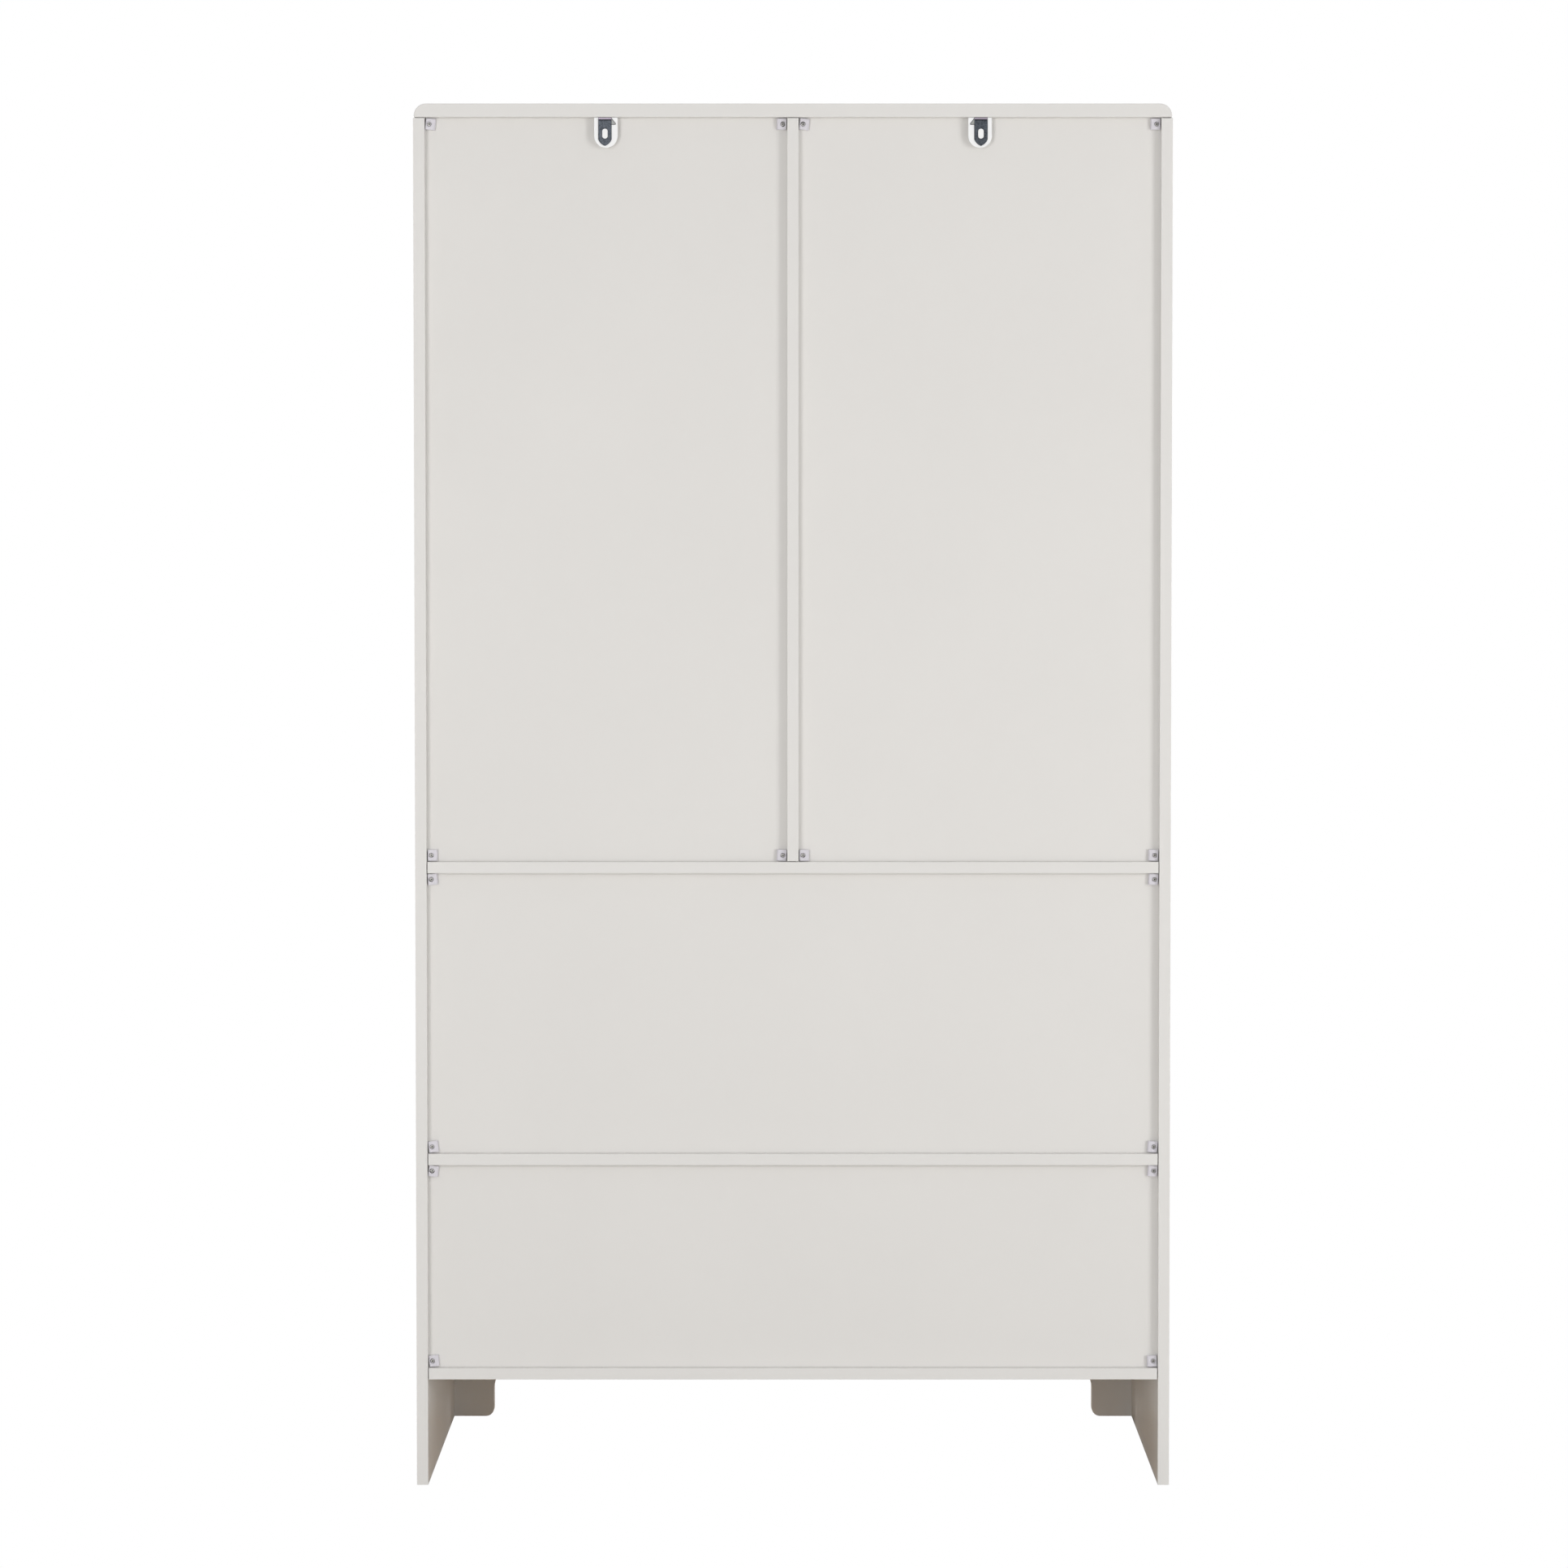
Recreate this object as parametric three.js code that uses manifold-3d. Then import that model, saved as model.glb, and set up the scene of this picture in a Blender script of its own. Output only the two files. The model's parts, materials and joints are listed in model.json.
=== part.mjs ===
// Two-door armoire with a wide drawer below the doors, in millimetres.
// +Z is up and the front faces -Y. The origin is on the floor, under the middle of the overall box.
// The boards join square. Each bay has its own thin back board, which slides in grooves and is
// pressed home by a screwed clip in every corner. Two steel brackets under the top hold it to a wall.

import * as THREE from "three";
import { mergeVertices } from "three/addons/utils/BufferGeometryUtils.js";
import Module from "manifold-3d";

const wasm = await Module();
wasm.setup();

// ---------------------------------------------------------------- driving dimensions

const WIDTH = 1000; // over the side panels
const HEIGHT = 1830; // floor to the top of the top panel
const CARCASS_DEPTH = 481; // side panel, front edge to rear edge
const BOARD = 15; // sides, divider, shelves, doors and drawer front
const TOP_BOARD = 18;
const TOP_END_RADIUS = 16; // rounding of the top panel's upper ends
const TOP_END_INSET = 1; // each end of the top panel, in from the face of the side panel
const TOP_OVERHANG = 4; // top panel in front of the doors
const LEG_HEIGHT = 141; // floor to the underside of the bottom panel
const DRAWER_BAY = 271; // clear height between the bottom panel and the lower shelf
const MIDDLE_BAY = 373; // clear height between the two fixed shelves
const SEAT = 0.3; // gap between pieces that are fastened face to face

// Front apron with its two feet
const FOOT_WIDTH = 72;
const FOOT_HEIGHT = 68;
const FOOT_CORNER_RADIUS = 12;
const FOOT_FILLET_RADIUS = 27;

// Back boards, their grooves, and the clips behind them
const BACK_BOARD = 4;
const BACK_RECESS = 12; // rear edge of the carcass to the back boards
const GROOVE_DEPTH = 5;
const GROOVE_CLEARANCE = 0.3;
const CLIP_WIDTH = 12.7;
const CLIP_HEIGHT = 14.5;
const CLIP_DEPTH = 5.5;
const CLIP_CHAMFER = 1.5;
const CLIP_GAP = 1.3; // clip to the boards that it sits between
const CLIP_SCREW_OFFSET = 4.5; // edge of the clip to its screw
const CLIP_HOLE_RADIUS = 1.8;
const CLIP_HEAD_RADIUS = 3.3;
const CLIP_HEAD_DEPTH = 2;

// Doors and drawer front
const REVEAL = 3; // between neighbouring fronts
const SIDE_REVEAL = 2; // outer edge of a front to the face of the side panel
const TOP_REVEAL = 2.5;
const FIELD_BORDER = 70; // frame around the sunk field of each front
const FIELD_DEPTH = 4;
const FIELD_RADIUS = 20;

// Handles
const HANDLE_REACH = 30; // face of the front to the far side of the bar
const HANDLE_RADIUS = 5;
const HANDLE_LENGTH = 170;
const HANDLE_SPACING = 128; // between the two posts
const POST_RADIUS = 4;
const POST_FOOT_RADIUS = 7;
const POST_FOOT_HEIGHT = 2;
const HANDLE_HOLE_RADIUS = 2.3;

// Continuous hinges
const HINGE_END_GAP = 6; // end of the door to the end of the hinge
const HINGE_LEAF = 1;
const HINGE_LEAF_WIDTH = 13; // pin axis to the edge of the leaf
const KNUCKLE_RADIUS = 1.7;
const KNUCKLE_COUNT = 19;
const KNUCKLE_GAP = 0.6;
const HINGE_PIN_RADIUS = 0.9;
const HINGE_PIN_CLEARANCE = 0.1;
const HINGE_CLEARANCE = 0.25; // knuckle to the other leaf

// Magnetic catches
const CATCH_WIDTH = 40;
const CATCH_HEIGHT = 14;
const CATCH_DEPTH = 16;
const CATCH_INSET = 4; // face of the divider to the catch
const CATCH_PLATE = 1;
const CATCH_GAP = 0.4; // magnet to its plate when the door is closed

// Hanging rail and its sockets
const RAIL_RADIUS = 12.5;
const RAIL_WALL = 1.5;
const RAIL_DROP = 65; // underside of the top panel to the axis of the rail
const SOCKET_FLANGE_RADIUS = 25;
const SOCKET_FLANGE = 3;
const SOCKET_LENGTH = 15;
const SOCKET_WALL = 3;
const SOCKET_CLEARANCE = 0.3;

// Adjustable shelves and the holes for their pins
const SHELF_COUNT = 2;
const SHELF_SIDE_GAP = 1;
const SHELF_FRONT_GAP = 12;
const SHELF_REAR_GAP = 3;
const PIN_RADIUS = 2.5;
const PIN_DEPTH = 9;
const PIN_PITCH = 32;
const PIN_STEPS = 3; // holes above and below each shelf's own hole
const PIN_INSET = 40; // shelf edge to the pins
const PIN_TO_SHELF = 3; // axis of the pin to the underside of the shelf

// Drawer box and its runners
const DRAWER_BOARD = 12;
const DRAWER_LENGTH = 440;
const DRAWER_LIFT = 18; // bottom panel to the lower edges of the drawer
const DRAWER_SIDE_HEIGHT = 190;
const DRAWER_BOTTOM = 4;
const DRAWER_BOTTOM_LIFT = 12; // lower edges of the drawer to its bottom
const RUNNER_SPACE = 12.7; // side panel to drawer side
const RUNNER_LENGTH = 400;
const RUNNER_SETBACK = 3;
const RUNNER_STEEL = 1.4;
const RUNNER_LIFT = 70; // lower edge of the drawer side to the axis of the runner
const RUNNER_NEST = 1.2; // edges of one channel to the web of the other
const CABINET_RUNNER_HEIGHT = 45;
const DRAWER_RUNNER_HEIGHT = 35;

// Wall brackets
const BRACKET_STEEL = 2;
const BRACKET_WIDTH = 31;
const BRACKET_DROP = 40; // underside of the top panel to the end of the plate
const BRACKET_REACH = 10; // rear of the plate to the front of the flange
const STRAP_WIDTH = 17.6;
const STRAP_DROP = 37.5;
const STRAP_RAISE = 1;
const STRAP_POINT = 8.4; // height of its pointed end
const STRAP_SHOULDER = 3; // how far the two sides of the point bulge
const STRAP_OFFSET = 1.2; // axis of the strap, outboard of the plate's
const SLOT_WIDTH = 7.5;
const SLOT_LENGTH = 13.4;
const SLOT_DROP = 21.5; // underside of the top panel to the middle of the slot
const GUSSET_WIDTH = 5.5;
const GUSSET_HEIGHT = 9.5;
const GUSSET_END = 1.6; // height of the gusset's blunt outer end

const ROUND = 24; // segments of a full circle on what is seen
const SMALL_ROUND = 12; // and on holes, pins and screws
const OVERCUT = 1; // how far a cutting solid runs past the face it opens

// ---------------------------------------------------------------- places worked out from them

const middleOf = ([low, high]) => (low + high) / 2;
const inward = ([low, high], by) => [low + by, high - by];

const halfWidth = WIDTH / 2;
const innerX = halfWidth - BOARD; // inner faces of the side panels
const dividerX = BOARD / 2; // faces of the centre divider
const frontGap = 2 * (KNUCKLE_RADIUS + SEAT); // front edge of the carcass to the backs of the doors
const frontStack = frontGap + BOARD; // and to their faces
const rearY = (CARCASS_DEPTH + frontStack + HANDLE_REACH) / 2;
const frontEdgeY = rearY - CARCASS_DEPTH;
const frontBoardY = [frontEdgeY - frontStack, frontEdgeY - frontGap]; // doors and drawer front
const backBoardY = [rearY - BACK_RECESS - BACK_BOARD, rearY - BACK_RECESS];
const boardY = [frontEdgeY, rearY];

const bottomZ = [LEG_HEIGHT, LEG_HEIGHT + BOARD];
const lowerShelfZ = [bottomZ[1] + DRAWER_BAY, bottomZ[1] + DRAWER_BAY + BOARD];
const upperShelfZ = [lowerShelfZ[1] + MIDDLE_BAY, lowerShelfZ[1] + MIDDLE_BAY + BOARD];
const topZ = [HEIGHT - TOP_BOARD, HEIGHT];

const apronTopZ = middleOf(bottomZ) - REVEAL / 2;
const drawerFrontZ = [middleOf(bottomZ) + REVEAL / 2, middleOf(lowerShelfZ) - REVEAL / 2];
const doorZ = [middleOf(lowerShelfZ) + REVEAL / 2, topZ[0] - TOP_REVEAL];
const frontOuterX = halfWidth - SIDE_REVEAL;
const doorX = [REVEAL / 2, frontOuterX];

// The bays between the boards. clipTurns are degrees clockwise from behind, left clip then right.
const BAYS = [
  {
    name: "upper_left",
    x: [-innerX, -dividerX],
    z: [upperShelfZ[1], topZ[0]],
    clipTurns: { low: [3, 0], high: [0, 6] },
  },
  {
    name: "upper_right",
    x: [dividerX, innerX],
    z: [upperShelfZ[1], topZ[0]],
    clipTurns: { low: [3, 0], high: [1, 6] },
  },
  {
    name: "middle",
    x: [-innerX, innerX],
    z: [lowerShelfZ[1], upperShelfZ[0]],
    clipTurns: { low: [5, -7], high: [4, -5] },
  },
  {
    name: "lower",
    x: [-innerX, innerX],
    z: [bottomZ[1], lowerShelfZ[0]],
    clipTurns: { low: [-2, -6], high: [4, 7] },
  },
];
const upperBay = BAYS[1];

// ---------------------------------------------------------------- materials

const boardPaint = new THREE.MeshStandardMaterial({ color: 0xdddad5, roughness: 0.5, metalness: 0 });
const backPaint = new THREE.MeshStandardMaterial({ color: 0xdbd8d2, roughness: 0.6, metalness: 0 });
const whitePlastic = new THREE.MeshStandardMaterial({ color: 0xe2e0e6, roughness: 0.4, metalness: 0 });
const zincSteel = new THREE.MeshStandardMaterial({ color: 0xc4c7cc, roughness: 0.3, metalness: 1 });
const satinSteel = new THREE.MeshStandardMaterial({ color: 0xb9b6b0, roughness: 0.35, metalness: 1 });

// ---------------------------------------------------------------- solids

// A closed three.js geometry as a manifold solid.
function solidOf(geometry) {
  geometry.deleteAttribute("normal");
  geometry.deleteAttribute("uv");
  const merged = mergeVertices(geometry, 1e-4);
  return new wasm.Manifold(
    new wasm.Mesh({
      numProp: 3,
      vertProperties: merged.attributes.position.array,
      triVerts: new Uint32Array(merged.index.array),
    }),
  );
}

function geometryOf(solid) {
  const mesh = solid.getMesh();
  const geometry = new THREE.BufferGeometry();
  geometry.setAttribute("position", new THREE.BufferAttribute(mesh.vertProperties, mesh.numProp));
  geometry.setIndex(new THREE.BufferAttribute(mesh.triVerts, 1));
  geometry.computeVertexNormals();
  return geometry;
}

const joined = (solids) => solids.reduce((whole, next) => whole.add(next));
const cut = (solid, tools) => tools.reduce((whole, tool) => whole.subtract(tool), solid);

// A box between two values on each axis.
function boxSolid(x, y, z) {
  const box = new THREE.BoxGeometry(x[1] - x[0], y[1] - y[0], z[1] - z[0]);
  return solidOf(box.translate(middleOf(x), middleOf(y), middleOf(z)));
}

// A round rod along one axis. across is its place on the other two, in X, Y, Z order.
function rodSolid(axis, span, across, radius, segments = SMALL_ROUND) {
  const rod = new THREE.CylinderGeometry(radius, radius, span[1] - span[0], segments);
  const [first, second] = across;
  if (axis === "x") rod.rotateZ(Math.PI / 2).translate(middleOf(span), first, second);
  if (axis === "y") rod.translate(first, middleOf(span), second);
  if (axis === "z") rod.rotateX(Math.PI / 2).translate(first, second, middleOf(span));
  return solidOf(rod);
}

// An outline in X and Z, given thickness along Y.
function plateSolid(shape, y) {
  const settings = { depth: y[1] - y[0], bevelEnabled: false, curveSegments: ROUND / 4 };
  return solidOf(new THREE.ExtrudeGeometry(shape, settings).rotateX(Math.PI / 2).translate(0, y[1], 0));
}

// An outline in X and Y, given height along Z.
function pillarSolid(shape, z) {
  const settings = { depth: z[1] - z[0], bevelEnabled: false };
  return solidOf(new THREE.ExtrudeGeometry(shape, settings).translate(0, 0, z[0]));
}

const outline = (points) => new THREE.Shape(points.map(([x, y]) => new THREE.Vector2(x, y)));

function roundedRectangle(x, z, radius) {
  const [left, right] = inward(x, radius);
  const [low, high] = inward(z, radius);
  const shape = new THREE.Shape();
  shape.absarc(right, low, radius, -Math.PI / 2, 0, false);
  shape.absarc(right, high, radius, 0, Math.PI / 2, false);
  shape.absarc(left, high, radius, Math.PI / 2, Math.PI, false);
  shape.absarc(left, low, radius, Math.PI, 1.5 * Math.PI, false);
  return shape;
}

// A strap outline with a square top and a half-round lower end.
function strapOutline(x, top, bottom) {
  const radius = (x[1] - x[0]) / 2;
  const shape = new THREE.Shape();
  shape.moveTo(x[1], top);
  shape.lineTo(x[0], top);
  shape.absarc(middleOf(x), bottom + radius, radius, Math.PI, 2 * Math.PI, false);
  return shape;
}

// The same, with an end that comes to a point below two rounded shoulders.
function pointedOutline(x, top, bottom) {
  const shoulderZ = bottom + STRAP_POINT;
  const bulge = inward(x, STRAP_SHOULDER);
  const bulgeZ = bottom + STRAP_SHOULDER / 2;
  const shape = new THREE.Shape();
  shape.moveTo(x[1], top);
  shape.lineTo(x[0], top);
  shape.lineTo(x[0], shoulderZ);
  shape.quadraticCurveTo(bulge[0], bulgeZ, middleOf(x), bottom);
  shape.quadraticCurveTo(bulge[1], bulgeZ, x[1], shoulderZ);
  return shape;
}

// A mesh whose geometry is centred on its own box, so that its position says where the piece is.
function piece(name, solid, material) {
  const geometry = geometryOf(solid);
  geometry.computeBoundingBox();
  const centre = geometry.boundingBox.getCenter(new THREE.Vector3());
  geometry.translate(-centre.x, -centre.y, -centre.z);
  const mesh = new THREE.Mesh(geometry, material);
  mesh.position.copy(centre);
  mesh.name = name;
  return mesh;
}

// The same piece on both sides: drawn at the right, and mirrored for the left.
function pair(name, solid, material) {
  return [
    piece(`${name}_left`, solid.mirror([1, 0, 0]), material),
    piece(`${name}_right`, solid, material),
  ];
}

function group(...pieces) {
  const parent = new THREE.Group();
  parent.add(...pieces.flat());
  return parent;
}

// ---------------------------------------------------------------- carcass

const grooveY = [backBoardY[0] - GROOVE_CLEARANCE, backBoardY[1] + GROOVE_CLEARANCE];
const grooveCut = GROOVE_DEPTH + GROOVE_CLEARANCE;

// The shelves divide the upper bay evenly. Each has its own hole, with more above and below it.
const shelfPitch = (upperBay.z[1] - upperBay.z[0]) / (SHELF_COUNT + 1);
const shelfPinsZ = Array.from({ length: SHELF_COUNT }, (_, i) => upperBay.z[0] + (i + 1) * shelfPitch);
const shelfY = [frontEdgeY + SHELF_FRONT_GAP, backBoardY[0] - SHELF_REAR_GAP];
const pinSteps = Array.from({ length: 2 * PIN_STEPS + 1 }, (_, i) => (i - PIN_STEPS) * PIN_PITCH);

function pinHoles(x) {
  const rows = shelfPinsZ.flatMap((shelfPin) => pinSteps.map((step) => shelfPin + step));
  return inward(shelfY, PIN_INSET).flatMap((y) => rows.map((z) => rodSolid("x", x, [y, z], PIN_RADIUS)));
}

function topPanel() {
  const endX = halfWidth - TOP_END_INSET;
  const arcX = endX - TOP_END_RADIUS;
  const arcZ = topZ[1] - TOP_END_RADIUS;
  const shape = new THREE.Shape();
  shape.moveTo(-endX, topZ[0]);
  shape.lineTo(endX, topZ[0]);
  shape.absarc(arcX, arcZ, TOP_END_RADIUS, 0, Math.PI / 2, false);
  shape.absarc(-arcX, arcZ, TOP_END_RADIUS, Math.PI / 2, Math.PI, false);
  const panel = plateSolid(shape, [frontBoardY[0] - TOP_OVERHANG, rearY]);
  const grooveX = [-innerX - grooveCut, innerX + grooveCut];
  const groove = boxSolid(grooveX, grooveY, [topZ[0] - OVERCUT, topZ[0] + grooveCut]);
  return piece("top_panel", cut(panel, [groove]), boardPaint);
}

function sidePanels() {
  const board = boxSolid([innerX, halfWidth], boardY, [0, topZ[0] - SEAT]);
  const groove = boxSolid([innerX - OVERCUT, innerX + grooveCut], grooveY, [bottomZ[1] - grooveCut, HEIGHT]);
  const plain = cut(board, [groove]);
  const drilled = cut(plain, pinHoles([innerX - OVERCUT, innerX + PIN_DEPTH]));
  return [
    piece("side_panel_left", plain.mirror([1, 0, 0]), boardPaint),
    piece("side_panel_right", drilled, boardPaint),
  ];
}

function centreDivider() {
  const board = boxSolid([-dividerX, dividerX], boardY, inward(upperBay.z, SEAT));
  const groove = boxSolid([dividerX - grooveCut, dividerX + OVERCUT], grooveY, upperBay.z);
  const holes = pinHoles([dividerX - PIN_DEPTH, dividerX + OVERCUT]);
  return piece("centre_divider", cut(board, [groove, groove.mirror([1, 0, 0]), ...holes]), boardPaint);
}

// A full-width board between the sides, grooved for the back boards that meet it.
function crossBoard(name, z, grooves) {
  const board = boxSolid(inward([-innerX, innerX], SEAT), boardY, z);
  const grooveZ = {
    above: [z[1] - grooveCut, z[1] + OVERCUT],
    below: [z[0] - OVERCUT, z[0] + grooveCut],
  };
  const tools = grooves.map((place) => boxSolid([-halfWidth, halfWidth], grooveY, grooveZ[place]));
  return piece(name, cut(board, tools), boardPaint);
}

// The apron closes the front below the drawer, and ends in two feet with rounded inner corners.
function frontApron() {
  const footX = halfWidth - FOOT_WIDTH;
  const cornerX = footX + FOOT_CORNER_RADIUS;
  const filletX = footX - FOOT_FILLET_RADIUS;
  const filletZ = FOOT_HEIGHT - FOOT_FILLET_RADIUS;
  const shape = new THREE.Shape();
  shape.moveTo(-halfWidth, apronTopZ);
  shape.lineTo(-halfWidth, 0);
  shape.absarc(-cornerX, FOOT_CORNER_RADIUS, FOOT_CORNER_RADIUS, -Math.PI / 2, 0, false);
  shape.absarc(-filletX, filletZ, FOOT_FILLET_RADIUS, Math.PI, Math.PI / 2, true);
  shape.absarc(filletX, filletZ, FOOT_FILLET_RADIUS, Math.PI / 2, 0, true);
  shape.absarc(cornerX, FOOT_CORNER_RADIUS, FOOT_CORNER_RADIUS, Math.PI, 1.5 * Math.PI, false);
  shape.lineTo(halfWidth, 0);
  shape.lineTo(halfWidth, apronTopZ);
  return piece("front_apron", plateSolid(shape, [frontBoardY[0], frontEdgeY - SEAT]), boardPaint);
}

// ---------------------------------------------------------------- back boards and clips

function backBoard({ name, x, z }) {
  const solid = boxSolid(inward(x, -GROOVE_DEPTH), backBoardY, inward(z, -GROOVE_DEPTH));
  return piece(`back_board_${name}`, solid, backPaint);
}

// A clip about its own screw, with its flat side towards -X and its chamfered side towards +X.
function clipSolid() {
  const farX = CLIP_WIDTH - CLIP_SCREW_OFFSET;
  const shape = outline([
    [-CLIP_SCREW_OFFSET, 0],
    [farX, 0],
    [farX, CLIP_DEPTH - CLIP_CHAMFER],
    [farX - CLIP_CHAMFER, CLIP_DEPTH],
    [-CLIP_SCREW_OFFSET, CLIP_DEPTH],
  ]);
  const block = pillarSolid(shape, [-CLIP_HEIGHT / 2, CLIP_HEIGHT / 2]);
  const hole = rodSolid("y", [-OVERCUT, CLIP_DEPTH], [0, 0], CLIP_HOLE_RADIUS);
  const head = rodSolid("y", [CLIP_DEPTH - CLIP_HEAD_DEPTH, CLIP_DEPTH + OVERCUT], [0, 0], CLIP_HEAD_RADIUS);
  return cut(block, [hole, head]);
}

// Clips stand behind the corners of a bay's back board, each turned a little about its screw.
function clips({ name, x, z, clipTurns }) {
  const solids = [clipSolid(), clipSolid().mirror([1, 0, 0])];
  const screwX = inward(x, CLIP_GAP + CLIP_SCREW_OFFSET);
  const screwZ = inward(z, CLIP_GAP + CLIP_HEIGHT / 2);
  return ["low", "high"].flatMap((level, row) =>
    ["left", "right"].map((side, column) => {
      const turned = solids[column].rotate([0, -clipTurns[level][column], 0]);
      const placed = turned.translate([screwX[column], backBoardY[1] + SEAT, screwZ[row]]);
      return piece(`clip_${name}_${level}_${side}`, placed, whitePlastic);
    }),
  );
}

// ---------------------------------------------------------------- wall brackets

// An angle bracket behind the middle of an upper bay: a flange screwed up into the top panel, a
// round-ended plate, and on it a pointed strap with a slot for the wall screw and a small gusset.
function wallBrackets() {
  const centreX = middleOf(upperBay.x);
  const strapX = centreX + STRAP_OFFSET;
  const around = (x, width) => [x - width / 2, x + width / 2];
  const top = topZ[0] - SEAT;
  const strapRearY = rearY - SEAT;
  const plateY = [strapRearY - STRAP_RAISE - BRACKET_STEEL, strapRearY - STRAP_RAISE];
  const strapY = [plateY[0], strapRearY];
  const plateOutline = strapOutline(around(centreX, BRACKET_WIDTH), top, topZ[0] - BRACKET_DROP);
  const raised = pointedOutline(around(strapX, STRAP_WIDTH), top, topZ[0] - STRAP_DROP);
  const gussetX = strapX - STRAP_WIDTH / 2;
  const gusset = outline([
    [gussetX + OVERCUT, top],
    [gussetX, top],
    [gussetX - GUSSET_WIDTH, top - GUSSET_HEIGHT + GUSSET_END],
    [gussetX - GUSSET_WIDTH, top - GUSSET_HEIGHT],
    [gussetX + OVERCUT, top - GUSSET_HEIGHT],
  ]);
  const slotZ = around(topZ[0] - SLOT_DROP, SLOT_LENGTH);
  const slot = roundedRectangle(around(strapX, SLOT_WIDTH), slotZ, SLOT_WIDTH / 2 - SEAT / 2);
  const flangeY = [plateY[1] - BRACKET_REACH, plateY[1]];
  const bracket = joined([
    plateSolid(plateOutline, plateY),
    plateSolid(raised, strapY),
    plateSolid(gusset, strapY),
    boxSolid(around(centreX, BRACKET_WIDTH), flangeY, [top - BRACKET_STEEL, top]),
  ]);
  const slotY = [plateY[0] - OVERCUT, strapRearY + OVERCUT];
  return pair("wall_bracket", cut(bracket, [plateSolid(slot, slotY)]), zincSteel);
}

// ---------------------------------------------------------------- hanging rail and shelves

const railY = middleOf([frontEdgeY, backBoardY[0]]);
const railZ = topZ[0] - RAIL_DROP;

function railSocket(name, faceX, way) {
  const along = (from, to) => [faceX + way * from, faceX + way * to].sort((a, b) => a - b);
  const collarRadius = RAIL_RADIUS + SOCKET_CLEARANCE + SOCKET_WALL;
  const across = [railY, railZ];
  const flange = rodSolid("x", along(SEAT, SEAT + SOCKET_FLANGE), across, SOCKET_FLANGE_RADIUS, ROUND);
  const collar = rodSolid("x", along(SEAT, SEAT + SOCKET_LENGTH), across, collarRadius, ROUND);
  const seat = along(SEAT + SOCKET_FLANGE, SEAT + SOCKET_LENGTH + OVERCUT);
  const bore = rodSolid("x", seat, across, RAIL_RADIUS + SOCKET_CLEARANCE, ROUND);
  return piece(name, cut(joined([flange, collar]), [bore]), zincSteel);
}

function hangingRail() {
  const bay = BAYS[0];
  const railX = inward(bay.x, SOCKET_FLANGE + 2 * SEAT);
  const tube = rodSolid("x", railX, [railY, railZ], RAIL_RADIUS, ROUND);
  const bore = rodSolid("x", inward(railX, -OVERCUT), [railY, railZ], RAIL_RADIUS - RAIL_WALL, ROUND);
  return [
    piece("hanging_rail", cut(tube, [bore]), satinSteel),
    railSocket("rail_socket_outer", bay.x[0], 1),
    railSocket("rail_socket_inner", bay.x[1], -1),
  ];
}

function adjustableShelves() {
  const x = inward(upperBay.x, SHELF_SIDE_GAP);
  return shelfPinsZ.map((pinZ, i) => {
    const z = [pinZ + PIN_TO_SHELF, pinZ + PIN_TO_SHELF + BOARD];
    return piece(`adjustable_shelf_${i + 1}`, boxSolid(x, shelfY, z), boardPaint);
  });
}

// ---------------------------------------------------------------- continuous hinges and catches

const hingeX = frontOuterX;
const hingeY = frontEdgeY - frontGap / 2;
const hingeZ = inward(doorZ, HINGE_END_GAP);
const knuckleLength = (hingeZ[1] - hingeZ[0]) / KNUCKLE_COUNT;

// A leaf with every second knuckle. The other leaf's knuckles turn in the notches between them.
function hingeLeaf(name, y, firstNotch) {
  const reach = KNUCKLE_RADIUS + HINGE_CLEARANCE;
  const strip = boxSolid([hingeX - HINGE_LEAF_WIDTH, hingeX], y, hingeZ);
  const barrel = rodSolid("z", hingeZ, [hingeX, hingeY], KNUCKLE_RADIUS);
  const boreRadius = HINGE_PIN_RADIUS + HINGE_PIN_CLEARANCE;
  const tools = [rodSolid("z", inward(hingeZ, -OVERCUT), [hingeX, hingeY], boreRadius)];
  for (let i = firstNotch; i < KNUCKLE_COUNT; i += 2) {
    const start = hingeZ[0] + i * knuckleLength;
    const notch = inward([start, start + knuckleLength], -KNUCKLE_GAP / 2);
    tools.push(boxSolid([hingeX - reach, hingeX + reach], [hingeY - reach, hingeY + reach], notch));
  }
  return pair(name, cut(joined([strip, barrel]), tools), zincSteel);
}

function hinges() {
  const frameLeafY = [frontEdgeY - SEAT - HINGE_LEAF, frontEdgeY - SEAT];
  const doorLeafY = [frontBoardY[1] + SEAT, frontBoardY[1] + SEAT + HINGE_LEAF];
  return {
    frameLeaves: hingeLeaf("hinge_frame_leaf", frameLeafY, 1),
    doorLeaves: hingeLeaf("hinge_door_leaf", doorLeafY, 0),
    pins: pair("hinge_pin", rodSolid("z", hingeZ, [hingeX, hingeY], HINGE_PIN_RADIUS), zincSteel),
  };
}

function catches() {
  const x = [dividerX + CATCH_INSET, dividerX + CATCH_INSET + CATCH_WIDTH];
  const plateY = [frontBoardY[1] + SEAT, frontBoardY[1] + SEAT + CATCH_PLATE];
  const magnetY = [plateY[1] + CATCH_GAP, plateY[1] + CATCH_GAP + CATCH_DEPTH];
  const magnetZ = [topZ[0] - SEAT - CATCH_HEIGHT, topZ[0] - SEAT];
  const plateZ = [magnetZ[0], doorZ[1] - TOP_REVEAL];
  return {
    magnets: pair("catch_magnet", boxSolid(x, magnetY, magnetZ), whitePlastic),
    plates: pair("catch_plate", boxSolid(x, plateY, plateZ), zincSteel),
  };
}

// ---------------------------------------------------------------- fronts and handles

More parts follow.
